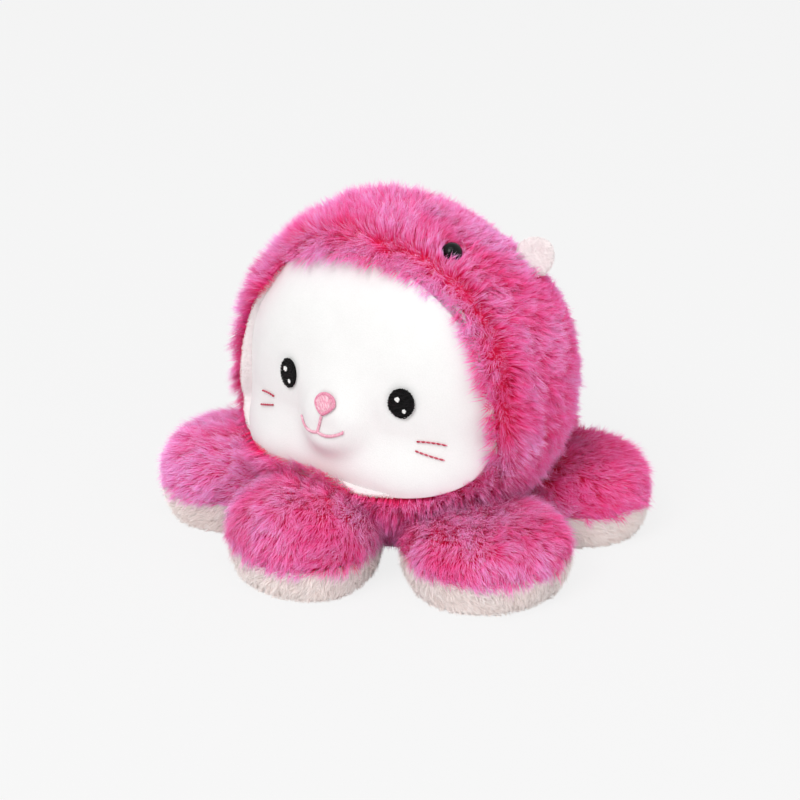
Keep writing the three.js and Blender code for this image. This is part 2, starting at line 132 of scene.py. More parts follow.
# Pile: length, half width, leans in degrees at the tip and at the root, strands in a tuft and in a lock
HOOD_PILE = dict(length=10.0, radius=0.09, tuft=8, lock=90)
LOBE_PILE = dict(length=9.0, radius=0.09, tuft=8, lock=90)
SOLE_PILE = dict(length=4.8, radius=0.085, tuft=5, lock=50)
FLAT_PILE = dict(length=3.2, radius=0.16, lean=82.0, root_lean=76.0, tuft=6, lock=40)
TRIM_PILE = dict(length=1.2, radius=0.06, lean=74.0, root_lean=56.0, tuft=3, lock=30)
EAR_PILE = dict(length=1.1, radius=0.06, lean=72.0, root_lean=54.0, tuft=3, lock=30)
PILE_DENSITY = 4.2
PIECE_STRANDS = 32000
FACING_STRANDS = 30000
EAR_STRANDS = 3600
BASE_STRANDS = 8000
# Spread of lean in degrees, of turn in radians and of tone: of tufts, of locks and of single strands
TUFT_LEAN, LOCK_LEAN, STRAND_LEAN = 11.0, 7.0, 10.0
TUFT_TURN, LOCK_TURN, STRAND_TURN = 0.55, 0.40, 0.28
TUFT_TONE, LOCK_TONE, STRAND_TONE = 0.19, 0.13, 0.12
# Where along a strand its widest ring lies
BEND = 0.46


# ---------------------------------------------------------------- small helpers
def unit(v):
    return v / np.maximum(np.linalg.norm(v, axis=-1, keepdims=True), 1e-9)


def smooth(t):
    t = np.clip(t, 0, 1)
    return t * t * (3 - 2 * t)


def bell(v, wide):
    """One at zero, falling away on both sides."""
    return np.exp(-((v / wide) ** 2))


def signed_power(v, k):
    return np.sign(v) * np.abs(v) ** k


def lengths(v):
    return np.linalg.norm(v, axis=1)


def turned_to(a, b, angle):
    """Directions turned from one to another at right angles to it."""
    return a * np.cos(angle)[:, None] + b * np.sin(angle)[:, None]


def waves(p, seed, size, count=14):
    """Smooth noise of about unit spread, made of a few seeded plane waves."""
    rng = np.random.default_rng(seed)
    k = unit(rng.normal(size=(count, 3))) * (2 * math.pi / size) * rng.uniform(0.6, 1.5, (count, 1))
    phase = rng.uniform(0, 2 * math.pi, count)
    return np.sin(p @ k.T + phase).sum(1) / math.sqrt(count / 2)


def circle(count):
    return np.linspace(0, 2 * math.pi, count, endpoint=False)


def run_length(x, h):
    """Distance along a line up to each of its points."""
    return np.concatenate([[0], np.cumsum(np.hypot(np.diff(x), np.diff(h)))])


def sphere(rows, turns, end, shift=0.0):
    """Directions on a grid of latitudes and longitudes."""
    lat = np.linspace(end, math.pi - end, rows)[:, None]
    lon = (circle(turns) + shift)[None]
    flat, z = np.sin(lat), np.repeat(np.cos(lat), turns, 1)
    return np.stack([flat * np.cos(lon), flat * np.sin(lon), z], -1).reshape(-1, 3)


def grid_quads(rows, cols, wrap=True):
    """Quads of a grid whose points run row by row."""
    i = np.arange(rows - 1)[:, None]
    j = np.arange(cols if wrap else cols - 1)[None, :]
    k = (j + 1) % cols
    a = i * cols + j
    b = i * cols + k
    return np.stack([a, b, b + cols, a + cols], -1).reshape(-1, 4)


def closed_sheet(rows, turns, flip=False):
    """Faces of a sheet from an outer and an inner grid: its sides, the wall at its edge and two caps."""
    count, ring, last, way = rows * turns, np.arange(turns), (rows - 1) * turns, 1 if flip else -1
    edge, cap = (ring, ring + last) if flip else (ring + last, ring)
    follow = np.roll(edge, -1)
    wall = np.stack([edge, follow, follow + count, edge + count], -1)
    quads = grid_quads(rows, turns)
    return [quads[:, ::-1], quads + count, wall[:, ::way], cap[None, ::-way], (cap + count)[None, ::way]]


def capped(rows, turns):
    """Faces of a closed body from one grid, with a cap at each end."""
    cap = np.arange(turns)
    return [grid_quads(rows, turns)[:, ::-1], cap[None, :], (cap + (rows - 1) * turns)[None, ::-1]]


def areas(verts, tris):
    a, b, c = (verts[tris[:, k]] for k in range(3))
    return lengths(np.cross(b - a, c - a)) / 2


def point_normals(verts, faces):
    """Smooth normals of the points of a mesh."""
    out = np.zeros_like(verts)
    for f in faces:
        n = np.cross(verts[f[:, 1]] - verts[f[:, 0]], verts[f[:, -1]] - verts[f[:, 0]])
        for c in range(f.shape[1]):
            np.add.at(out, f[:, c], n)
    return unit(out)


def make(name, verts, faces, material, tags=None, normals=None, bake_uv=None):
    """A smooth-shaded mesh object from points in millimetres."""
    mesh = bpy.data.meshes.new(name)
    mesh.vertices.add(len(verts))
    mesh.vertices.foreach_set("co", (verts * MM).astype(np.float32).ravel())
    loops = np.concatenate([f.ravel() for f in faces]).astype(np.int32)
    sizes = np.concatenate([np.full(len(f), f.shape[1]) for f in faces])
    starts = np.concatenate([[0], np.cumsum(sizes)[:-1]]).astype(np.int32)
    mesh.loops.add(len(loops))
    mesh.loops.foreach_set("vertex_index", loops)
    mesh.polygons.add(len(sizes))
    mesh.polygons.foreach_set("loop_start", starts)
    mesh.update(calc_edges=True)
    mesh.shade_smooth()
    for tag, values in (tags or {}).items():
        layer = mesh.attributes.new(tag, "FLOAT", "POINT")
        layer.data.foreach_set("value", values.astype(np.float32))
    if bake_uv is not None:
        layer = mesh.uv_layers.new(name="OFBake")
        layer.data.foreach_set("uv", bake_uv[loops].astype(np.float32).ravel())
    if normals is not None:
        mesh.normals_split_custom_set_from_vertices(normals.astype(np.float32))
    mesh.materials.append(material)
    obj = bpy.data.objects.new(name, mesh)
    bpy.context.scene.collection.objects.link(obj)
    return obj


def put(obj, body, node):
    """Ties a piece to its body and hides the imported part of the node it stands for."""
    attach(obj, body)
    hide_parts(node)
    return obj


def scatter(verts, tris, normals, count, seed, keep=None):
    """Evenly spread points on a mesh, with their normals."""
    rng = np.random.default_rng(seed)
    area = areas(verts, tris)
    if keep is not None:
        area = area * keep
    total = np.cumsum(area)
    pick = (np.arange(count) + rng.random(count)) / count * total[-1]
    t = tris[np.minimum(np.searchsorted(total, pick), len(tris) - 1)]
    u = rng.random(count)
    v = rng.random(count)
    over = u + v > 1
    u[over], v[over] = 1 - u[over], 1 - v[over]
    shares = list(enumerate((1 - u - v, u, v)))
    p, n = (sum(values[t[:, k]] * w[:, None] for k, w in shares) for values in (verts, normals))
    return p, unit(n)


def triangles(quads):
    return np.concatenate([quads[:, [0, 1, 2]], quads[:, [0, 2, 3]]])


# ---------------------------------------------------------------- materials
def preset(node, **values):
    """Sets inputs of a shader node. An underscore stands for a space in a name."""
    for key, value in values.items():
        node.inputs[key.replace("_", " ")].default_value = value
    return node


def add(nodes, kind, **values):
    return preset(nodes.new("ShaderNode" + kind), **values)


def math_node(nodes, operation):
    node = add(nodes, "Math")
    node.operation = operation
    return node


def new_material(name):
    material = bpy.data.materials.new(name)
    material.use_nodes = True
    nodes = material.node_tree.nodes
    return material, nodes, material.node_tree.links.new, nodes["Principled BSDF"]


def ramp(nodes, link, value, places, colors):
    """A colour that follows a value."""
    node = add(nodes, "ValToRGB")
    line = node.color_ramp.elements
    for k in (0, -1):
        line[k].position, line[k].color = places[k], (*colors[k], 1)
    for place, color in zip(places[1:-1], colors[1:-1]):
        line.new(place).color = (*color, 1)
    link(value, node.inputs["Fac"])
    return node.outputs["Color"]


def spread_over(nodes, link, value, **limits):
    """A value mapped to other limits."""
    node = add(nodes, "MapRange", **limits)
    link(value, node.inputs["Value"])
    return node.outputs["Result"]


def attribute(nodes, name):
    node = add(nodes, "Attribute")
    node.attribute_name = name
    return node.outputs["Fac"]


def noise(nodes, link, place, scale, detail):
    node = add(nodes, "TexNoise", Scale=scale, Detail=detail)
    link(place, node.inputs["Vector"])
    return node.outputs["Fac"]


def relief(nodes, link, shader, height, strength, depth):
    """Fine relief. Its depth is in millimetres."""
    node = add(nodes, "Bump", Strength=strength, Distance=depth * MM)
    link(height, node.inputs["Height"])
    link(node.outputs["Normal"], shader.inputs["Normal"])


def mixed(nodes, link, share, first, second, out):
    """Two shaders mixed by a share, into an output node."""
    node = add(nodes, "MixShader")
    link(share, node.inputs["Fac"])
    link(first, node.inputs[1])
    link(second, node.inputs[2])
    link(node.outputs["Shader"], out.inputs["Surface"])


def pile_material(name, places, deep, light, sheen, sheen_tint):
    """Pile whose colour runs from root to tip, with a tone for each strand. Its darker roots are painted shade deep
    in the pile.
    """
    material, nodes, link, shader = new_material(name)
    along = attribute(nodes, "along")
    mix = add(nodes, "Mix")
    mix.data_type = "RGBA"
    link(attribute(nodes, "tone"), mix.inputs[0])
    link(ramp(nodes, link, along, places, deep), mix.inputs[6])
    link(ramp(nodes, link, along, places, light), mix.inputs[7])
    link(mix.outputs[2], shader.inputs["Base Color"])
    link(spread_over(nodes, link, along, To_Min=0.75, To_Max=0.55), shader.inputs["Roughness"])
    preset(shader, Specular_IOR_Level=0.12, Diffuse_Roughness=1.0, Sheen_Weight=sheen,
           Sheen_Roughness=0.45, Sheen_Tint=(*sheen_tint, 1))
    return material


def cloth_material(name, low, high, grain, bump, sheen=0.0, rough=(0.8, 0.95), specular=0.2):
    """Short cloth with a fine grain in colour, roughness and relief. The grain is in millimetres."""
    material, nodes, link, shader = new_material(name)
    place = add(nodes, "TexCoord").outputs["Object"]
    fine = noise(nodes, link, place, 1000.0 / grain, 4.0)
    broad = noise(nodes, link, place, 1000.0 / (grain * 14), 3.0)
    both = math_node(nodes, "MULTIPLY_ADD")
    link(broad, both.inputs[0])
    both.inputs[1].default_value = 0.5
    link(fine, both.inputs[2])
    spread = spread_over(nodes, link, both.outputs["Value"], From_Min=0.45, From_Max=1.05)
    link(ramp(nodes, link, spread, (0.0, 1.0), (low, high)), shader.inputs["Base Color"])
    link(spread_over(nodes, link, spread, To_Min=rough[0], To_Max=rough[1]), shader.inputs["Roughness"])
    relief(nodes, link, shader, fine, 0.6, bump)
    preset(shader, Specular_IOR_Level=specular, Sheen_Weight=sheen, Sheen_Roughness=0.5)
    return material


def thread_material(name, low, high):
    """Embroidery thread: a tone for each stitch and fine plies along it."""
    material, nodes, link, shader = new_material(name)
    link(ramp(nodes, link, attribute(nodes, "tone"), (0.0, 1.0), (low, high)), shader.inputs["Base Color"])
    ply = noise(nodes, link, add(nodes, "TexCoord").outputs["Object"], 5200.0, 2.0)
    relief(nodes, link, shader, ply, 0.5, 0.06)
    link(spread_over(nodes, link, ply, To_Min=0.38, To_Max=0.62), shader.inputs["Roughness"])
    preset(shader, Specular_IOR_Level=0.10)
    return material


# Colours of the pile from root to tip, of the deep strands and of the light ones. The paler tips are the pile's own
# colour; the darker roots are painted shade deep in the pile
PINK_PLACES = (0.0, 0.40, 0.75, 1.0)
PINK_DEEP = ((0.95, 0.004, 0.080), (0.97, 0.022, 0.190), (0.985, 0.160, 0.530), (0.99, 0.430, 0.830))
PINK_LIGHT = ((0.96, 0.012, 0.140), (0.98, 0.120, 0.480), (0.994, 0.480, 0.880), (0.996, 0.830, 0.990))
PALE_PLACES = (0.0, 0.5, 1.0)
PALE_DEEP = ((0.985, 0.83, 0.79), (0.997, 0.910, 0.880), (0.998, 0.942, 0.922))
PALE_LIGHT = ((0.990, 0.885, 0.855), (0.998, 0.947, 0.927), (0.998, 0.967, 0.953))
TRIM_DEEP = ((0.97, 0.85, 0.86), (0.99, 0.93, 0.93), (0.995, 0.955, 0.955))
TRIM_LIGHT = ((0.98, 0.90, 0.90), (0.995, 0.96, 0.96), (0.995, 0.975, 0.97))

PINK_PILE = pile_material("pink_pile", PINK_PLACES, PINK_DEEP, PINK_LIGHT, 0.4, (1.0, 0.45, 0.72))
PALE_PILE = pile_material("pale_pile", PALE_PLACES, PALE_DEEP, PALE_LIGHT, 0.8, (1.0, 0.92, 0.90))
TRIM_PILE_LOOK = pile_material("trim_pile", PALE_PLACES, TRIM_DEEP, TRIM_LIGHT, 0.8, (1.0, 0.93, 0.93))
PINK_BACKING = cloth_material("pink_backing", (0.90, 0.010, 0.080), (0.95, 0.026, 0.150), 0.9, 0.3)
PALE_BACKING = cloth_material("pale_backing", (0.985, 0.905, 0.885), (0.995, 0.945, 0.93), 0.9, 0.3)
TRIM_BACKING = cloth_material("trim_backing", (0.985, 0.925, 0.92), (0.995, 0.965, 0.96), 0.8, 0.3)
FACE_CLOTH = cloth_material("face_velvet", (0.805, 0.803, 0.793), (0.855, 0.854, 0.846), 0.55, 0.16, 0.12)
FIBRE = cloth_material("fibre_fill", (0.74, 0.73, 0.70), (0.93, 0.92, 0.90), 2.2, 0.9)
BLACK_THREAD = thread_material("black_thread", (0.002, 0.002, 0.002), (0.010, 0.009, 0.010))
WHITE_THREAD = thread_material("white_thread", (0.80, 0.80, 0.79), (0.95, 0.95, 0.94))
ROSE_THREAD = thread_material("rose_thread", (0.70, 0.17, 0.31), (0.96, 0.66, 0.74))
RED_THREAD = thread_material("red_thread", (0.44, 0.012, 0.045), (0.86, 0.36, 0.44))
WASHER_PLASTIC = cloth_material("washer_plastic", (0.74, 0.73, 0.70), (0.80, 0.79, 0.76), 0.7, 0.03,
                                rough=(0.38, 0.5))
BEAD_PLASTIC = cloth_material("bead_plastic", (0.003, 0.003, 0.003), (0.006, 0.006, 0.006), 1.5, 0.0,
                              rough=(0.06, 0.12), specular=0.16)


# ---------------------------------------------------------------- pile
def nearest_of(roots, centres):
    tree = kdtree.KDTree(len(centres))
    for i, c in enumerate(centres):
        tree.insert(roots[c], i)
    tree.balance()
    return centres[np.array([tree.find(p)[1] for p in roots])]


def pile(name, roots, normals, flow, material, seed, length, radius, lean, root_lean, tuft, lock,
         scale=None, tone=None, floor=None, gather=0.38, stray=1.0):
    """Strands of fur as closed slim spindles: root, a ring of three points and a tip."""
    rng = np.random.default_rng(seed)
    count = len(roots)
    # strands share tone, lean and turn in small tufts and in wider locks
    order = rng.permutation(count)
    near = nearest_of(roots, order[: max(count // tuft, 1)])
    wide = nearest_of(roots, order[: max(count // lock, 1)])
    spread = rng.normal(size=(7, count))
    tuft_lean = (spread[1][near] * TUFT_LEAN + spread[2][wide] * LOCK_LEAN) * stray
    tuft_turn = (spread[3][near] * TUFT_TURN + spread[4][wide] * LOCK_TURN) * stray
    tuft_size = 1 + 0.13 * spread[5][near]
    side = np.cross(normals, flow)
    turn = tuft_turn + rng.normal(size=count) * STRAND_TURN
    way = turned_to(flow, side, turn)
    tip_lean = np.radians(np.clip(lean + tuft_lean + rng.normal(size=count) * STRAND_LEAN, 3, 86))
    low_lean = np.radians(np.clip(root_lean + 0.6 * tuft_lean + rng.normal(size=count) * 8.0, 2, 80))
    size = length * tuft_size * (1 + 0.12 * rng.normal(size=count))
    size *= np.where(rng.random(count) < 0.06, 1.18, 1.0)
    if scale is not None:
        size = size * scale
    size = np.clip(size, 0.25 * length, 1.35 * length)[:, None]
    first = turned_to(normals, way, low_lean)
    last = unit(turned_to(normals, way, tip_lean) + 0.10 * DOWN)
    mid = roots + first * size * BEND
    tip = mid + last * size * (1 - BEND)
    # tips draw together in each tuft
    pull = (gather * rng.uniform(0.5, 1.2, count))[:, None]
    away = roots - roots[near]
    tip = tip + (tip[near] + 0.30 * away - tip) * pull
    mid = mid + (mid[near] + 0.75 * away - mid) * pull * 0.5
    if floor is not None:
        mid[:, 2] = np.maximum(mid[:, 2], floor + 0.15)
        tip[:, 2] = np.maximum(tip[:, 2], floor + rng.uniform(0.02, 0.25, count))
    # upper side with a ridge, and a flat lower side
    axis = unit(tip - roots)
    across = unit(np.cross(axis, normals) + 1e-6)
    upper = np.cross(across, axis)
    roll = rng.normal(size=count) * 0.25
    across, upper = turned_to(across, upper, roll), turned_to(upper, -across, roll)
    thick = radius * rng.uniform(0.75, 1.2, count)[:, None]
    left = mid - (across * 1.35 + upper * 0.3) * thick
    right = mid + (across * 1.35 - upper * 0.3) * thick
    ridge = mid + upper * 0.6 * thick
    verts = np.stack([roots, left, ridge, right, tip, roots, left, right, tip], 1).reshape(-1, 3)
    leaned = unit(upper + 0.25 * normals)
    shade = np.stack([leaned, unit(leaned - 0.75 * across), leaned, unit(leaned + 0.75 * across), leaned,
                      -upper, -upper, -upper, -upper], 1).reshape(-1, 3)
    base = (np.arange(count) * 9)[:, None, None]
    one = np.array([[2, 1, 0], [3, 2, 0], [1, 2, 4], [2, 3, 4], [6, 7, 5], [7, 6, 8]])
    tris = (base + one[None]).reshape(-1, 3)
    level = 0.5 + 0.24 * waves(roots, seed + 1, 34.0) + 0.18 * waves(roots, seed + 2, 14.0)
    level = level + TUFT_TONE * spread[0][near] + LOCK_TONE * spread[6][wide]
    level = level + STRAND_TONE * rng.normal(size=count)
    if tone is not None:
        level = level + tone
    level = np.clip(level, 0.02, 0.98)
    along = np.tile([0.0, BEND, BEND, BEND, 1.0, 0.0, BEND, BEND, 1.0], count)
    tones = np.repeat(level, 9)
    # the baked picture holds tone across and root to tip upward
    aside = np.tile([0.0, -0.012, 0.0, 0.012, 0.0, 0.0, -0.012, 0.012, 0.0], count)
    uv = np.stack([np.clip(tones + aside, 0, 1), along], -1)
    return make(name, verts, [tris], material, {"along": along, "tone": tones}, shade, uv)


# ---------------------------------------------------------------- hood
def seam_distance(p):
    return p[:, 1] - HOOD_SEAM_Y


def tangent(v, n):
    return v - n * np.sum(v * n, -1, keepdims=True)


def bead_direction(sign):
    return unit(np.array([sign * 0.426, -0.162, 0.89]))


def ear_frame(sign):
    """Root point and the side, up and front directions of an ear."""
    rise = EAR_UP + sign * EAR_TIP
    flat = math.sqrt(BALL_R**2 - rise**2)
    back = EAR_BACK + sign * EAR_TURN
    out = np.array([sign * flat * math.cos(back), flat * math.sin(back), rise])
    up = unit(unit(out) + np.array([0.0, EAR_LEAN, 0.0]))
    side = np.array([out[2], 0.0, -out[0]])
    side = unit(side - up * side.dot(up))
    return out + CENTRE, side, up, np.cross(side, up)


def with_spots(value, p, spots):
    """Adds soft spots, seen from the front, to a value."""
    for height, x, q, wide, tall in spots:
        value = value + height * np.exp(-(((p[:, 0] - x) / wide) ** 2) - ((p[:, 2] - BALL_Z - q) / tall) ** 2)
    return value


def drawn_in(p):
    """How far the edge of the opening is drawn in above the kitten's right eye and beside its right cheek."""
    return with_spots(1.05 * np.maximum(swell(unit(p - CENTRE))[0], 0.0), p, DRAWN_SPOTS)


def rim_field(n):
    """How far a point in front lies outside the face opening along the ball, and the way to the opening."""
    p = CENTRE + n * RIM_R
    x = p[:, 0]
    q = p[:, 2] - BALL_Z - OPEN_MID
    k = np.where(q > 0, *OPEN_POWERS)
    tall = np.where(q > 0, OPEN_UP, OPEN_DOWN)
    ax, az = np.abs(x) / OPEN_HALF_W, np.abs(q) / tall
    total = np.maximum(ax**k + az**k, 1e-6)
    gx = np.sign(x) * ax ** (k - 1) / OPEN_HALF_W * total ** (1 / k - 1)
    gz = np.sign(q) * az ** (k - 1) / tall * total ** (1 / k - 1)
    slope = tangent(np.stack([gx, 0 * gx, gz], -1), n)
    far = (total ** (1 / k) - 1) / np.maximum(lengths(slope), 1e-4)
    return np.where(p[:, 1] < 0, far + drawn_in(p), 99.0), -unit(slope + 1e-9)


def overhang(p):
    """How far the pile is brushed over the edge of the face opening: less on the kitten's right."""
    high = smooth((p[:, 2] - BALL_Z - 12.0 - 30.0 * smooth((-p[:, 0] - 12.0) / 26.0)) / 30.0)
    share = 0.35 + 0.65 * np.maximum(smooth((p[:, 0] + 46.0) / 46.0), high)
    return with_spots(share, p, OVERHANG_SPOTS)


def rim_start(p):
    """How far outside the opening the pile starts: below zero it covers the facing."""
    return with_spots(0.6 - 3.4 * smooth((overhang(p) - 0.5) / 0.5), p, START_SPOTS)


def swell(n):
    """Rise of the hood and length of its pile, with a peak, a roll and a flatter place."""
    rise, size = 0.0, 1.0
    for way, spread, lift, grow in SWELLS:
        near = bell(np.arccos(np.clip(n @ unit(np.array(way)), -1, 1)), spread)
        rise, size = rise + lift * near, size + grow * near
    return rise, size


def hood_field(p, n):
    """Combing direction, length scale, tone shift and leans of the hood's pile."""
    away = unit(tangent(-FACE_DIR[None], n))
    down = tangent(DOWN[None], n)
    back = np.clip(0.5 + 0.5 * n[:, 1:2], 0, 1)
    swirl = waves(p, 5, 46.0)[:, None] * 0.30 + waves(p, 6, 15.0)[:, None] * 0.34
    flow = unit(away * (1.0 - 0.45 * back) + down * (0.40 + 0.60 * back))
    # the pile parts at the seams and is shorter there, and painted shade darkens it along the seams
    s = seam_distance(p)
    close = bell(s, 3.5)[:, None]
    apart = tangent(np.array([[0.0, 1.0, 0.0]]), n) * np.sign(s)[:, None]
    flow = unit(flow + 0.7 * close * apart + np.cross(n, flow) * swirl)
    tight = bell(s, 2.0)
    middle = bell(p[:, 0], 2.0) * (s > 0)
    scale = (1.04 - 0.30 * np.clip(n @ FLATTER, -0.3, 1)) * (1 - 0.25 * tight - 0.2 * middle) * swell(n)[1]
    # the tone holds painted shade: along the seams, on the far side toward FLATTER and on the underside
    tone = -0.20 * tight - 0.15 * middle - 0.22 * smooth(n @ FLATTER + 0.1) - 0.36 * smooth(-1.4 * n[:, 2])
    lean = 48.0 + 6.0 * np.clip(n @ FLATTER, 0, 1)
    # round the face the pile fans from over the edge, through upright, to the way it is combed
    rim, inward = rim_field(n)
    share = overhang(p)
    fan = smooth(rim / 20.0)
    signed = lean * fan - 82.0 * share * (1 - fan)
    flow = np.where(signed[:, None] < 0, inward, flow)
    root_lean = np.where(rim < 20.0, np.where(signed < 0, 0.68 * share, 0.4) * np.abs(signed), 20.0)
    lean = np.abs(signed)
    edge = 1 - smooth(rim / 12.0)
    scale = scale * (1 + 0.10 * edge)
    # beside the right cheek it hangs down along the edge
    side = smooth((-p[:, 0] - 34.0) / 20.0) * (1 - smooth((p[:, 2] - BALL_Z - 16.0) / 26.0)) * (rim < 60)
    along = unit(tangent(DOWN + 0.35 * away, n) + np.cross(n, away) * 0.25 * swirl)
    flow = unit(flow + (along - flow) * side[:, None])
    lean = lean + (44.0 - lean) * side
    root_lean = root_lean + (20.0 - root_lean) * side
    scale = scale * (1 + 0.14 * side)
    # shorter round the costume eyes, with painted shade darkening the pile there, and more upright before the ears
    for _, sign in SIDES:
        far = lengths(p - (CENTRE + bead_direction(sign) * SKIN_R))
        ring = bell(np.maximum(far - 5.0, 0), 3.0)
        scale = scale * (1 - 0.34 * ring)
        tone = tone - 0.12 * ring
        lean = lean - 24.0 * bell(lengths(p - ear_frame(sign)[0]), 9.0)
    return flow, np.clip(scale, 0.40, 1.35), tone, np.clip(lean, 8, 80), root_lean


def hood_points(density, seed):
    """Jittered even points on the whole ball at the root of the pile."""
    radius = SKIN_R + 0.8
    count = int(4 * math.pi * radius**2 * density)
    rng = np.random.default_rng(seed)
    i = np.arange(count) + rng.uniform(0.1, 0.9, count)
    z = 1 - 2 * i / count
    turn = np.arange(count) * math.pi * (1 + math.sqrt(5)) + rng.normal(size=count) * 0.004
    flat = np.sqrt(np.maximum(1 - z * z, 0))
    n = np.stack([flat * np.cos(turn), flat * np.sin(turn), z], -1)
    n = unit(n + rng.normal(size=n.shape) * 0.004)
    p = CENTRE + n * (radius + swell(n)[0])[:, None]
    rim, start = rim_field(n)[0], rim_start(p)
    keep = (p[:, 2] > BASE_Z + 0.6) & (rim > start)
    # where the pile covers the facing it grows from the face
    sink = np.clip(lengths(p - CENTRE) - face_reach(p) - 0.2, 0.0, 6.0)
    p = p - n * (sink * smooth(-start / COVER_FADE) * smooth((2.5 - rim) / 4.0))[:, None]
    for _, sign in SIDES:
        d = bead_direction(sign)
        keep &= lengths(p - (CENTRE + d * radius)) > BEAD_R * 0.85
        root, side, up, front = ear_frame(sign)
        local = p - root
        keep &= ~((np.abs(local @ side) < EAR_WIDTH * 0.46) & (np.abs(local @ front) < 2.0) & (local @ up > -9))
    return p[keep], n[keep]


def thin_shell(verts, quads, normals, thick):
    """Closed sheet from an open one: a second side further in, and walls along the open edges."""
    used, index = np.unique(quads, return_inverse=True)
    quads = index.reshape(quads.shape)
    verts, normals = verts[used], normals[used]
    count = len(verts)
    sides = np.concatenate([quads[:, [k, (k + 1) % 4]] for k in range(4)])
    code = sides.min(1) * count + sides.max(1)
    _, first, times = np.unique(code, return_index=True, return_counts=True)
    edge = sides[first[times == 1]]
    wall = np.stack([edge[:, 1], edge[:, 0], edge[:, 0] + count, edge[:, 1] + count], -1)
    return np.concatenate([verts, verts - normals * thick]), [quads, quads[:, ::-1] + count, wall]


def hood_backing(node, keep_point):
    """The knitted ground of a hood panel, as a patch of the ball."""
    rows, turns = 130, 260
    n = sphere(rows, turns, 0.004, 0.5 * math.pi / turns)
    p = CENTRE + n * (SKIN_R + 1.0 + swell(n)[0])[:, None]
    quads = grid_quads(rows, turns)
    edge = np.where(p[:, 2] > BALL_Z - 8.0, np.minimum(0.8, rim_start(p) + 1.0), 0.8)
    keep = (keep_point(p) & (p[:, 2] > BASE_Z + 0.4) & (rim_field(n)[0] > edge))[quads].all(1)
    verts, faces = thin_shell(p, quads[keep][:, ::-1], n, 0.8)
    obj = make(node + "_backing", verts, faces, PINK_BACKING)
    put(obj, "body", node)


def build_hood():
    p, n = hood_points(PILE_DENSITY, 11)
    flow, scale, tone, lean, root_lean = hood_field(p, n)
    behind = seam_distance(p) > 0
    left = p[:, 0] > 0
    panels = (
        ("hood_front_band", ~behind, lambda q: seam_distance(q) < 2.0, 21),
        ("hood_back_left", behind & left, lambda q: (seam_distance(q) > -0.2) & (q[:, 0] > -2.0), 31),
        ("hood_back_right", behind & ~left, lambda q: (seam_distance(q) > -0.2) & (q[:, 0] < 0.2), 41),
    )
    for node, keep, keep_point, seed in panels:
        where = np.flatnonzero(keep)
        where = where[np.argsort(p[where, 0] if node == "hood_front_band" else p[where, 2])]
        for k, part in enumerate(np.array_split(where, max(1, math.ceil(len(where) / PIECE_STRANDS)))):
            obj = pile(f"{node}_pile_{k + 1}", p[part], n[part], flow[part], PINK_PILE, seed + k, **HOOD_PILE,
                       lean=lean[part], root_lean=root_lean[part], scale=scale[part], tone=tone[part], stray=0.9)
            put(obj, "body", node)
        hood_backing(node, keep_point)


# ---------------------------------------------------------------- tentacles
def lobe_matrix(step):
    a = math.radians(step * 60 - 90)
    return np.array([[math.cos(a), -math.sin(a), 0], [math.sin(a), math.cos(a), 0], [0, 0, 1]])


def clear_of_body(p, extra):
    """Pushes points out of the body ball, at rest and through the swing."""
    p = p.copy()
    moved = np.zeros(len(p))
    hinge = np.array([HINGE_R, 0.0, HINGE_Z])
    arm = np.array([0.0, 0.0, BALL_Z]) - hinge
    for swing in LOBE_SWING:
        a = math.radians(swing)
        turn = np.array([[math.cos(a), 0, math.sin(a)], [0, 1, 0], [-math.sin(a), 0, math.cos(a)]])
        middle = hinge + turn @ arm
        out = p - middle
        short = np.maximum(BALL_R + extra - lengths(out), 0)
        p = p + unit(out) * short[:, None]
        moved = np.maximum(moved, short)
    return p, moved


def lobe_grid(inset, height, part, turns, rows, sides, foot=0.76):
    """One panel of a tentacle in its own frame, from top to seam or from seam to the middle of the sole."""
    rise = height - inset - LOBE_SEAM_Z
    drop = LOBE_SEAM_Z - inset
    if part == "upper":
        t = np.linspace(0.02, 1, rows) * math.pi / 2
        spread = np.sin(t) ** (2 / LOBE_FULLNESS)
        z = LOBE_SEAM_Z + rise * np.cos(t) ** (2 / LOBE_FULLNESS)
    else:
        side = rows // 2
        t = np.linspace(0, 1, side) * math.pi / 2
        spread = np.concatenate([foot + (1 - foot) * np.cos(t), np.linspace(foot, 0.02, rows - side + 1)[1:]])
        z = np.concatenate([LOBE_SEAM_Z - drop * np.sin(t), np.full(rows - side, inset)])
    a = circle(turns)
    c, s = np.cos(a), np.sin(a)
    inward = c < 0
    k = np.where(inward, 1.0, 2 / 2.1)
    half = (LOBE_WIDTH / 2 - inset) * np.where(a > math.pi, sides[0], sides[1])
    reach = (LOBE_LENGTH / 2 - inset) * np.where(inward, 1.0, sides[2])
    across = half * np.sign(s) * np.where(inward, np.abs(s) ** 0.55, np.abs(s) ** k)
    x = LOBE_RING + spread[:, None] * (reach * np.sign(c) * np.abs(c) ** k)[None]
    limit = 0.57 * (x - inset)
    y = np.clip(spread[:, None] * across[None], -limit, limit)
    return np.stack([x, y, np.repeat(z[:, None], turns, 1)], -1).reshape(-1, 3)


def lobe_shell(inset, thick, height, part, sides, turns=72, rows=30):
    """Closed thin shell of one panel, the number of its outer points, and how far they were pushed out."""
    outer, moved = clear_of_body(lobe_grid(inset, height, part, turns, rows, sides, 0.85), 0.6)
    inner, _ = clear_of_body(lobe_grid(inset + thick, height, part, turns, rows, sides, 0.85), 0.6 + thick)
    return np.concatenate([outer, inner]), closed_sheet(rows, turns, part == "sole"), len(outer), moved


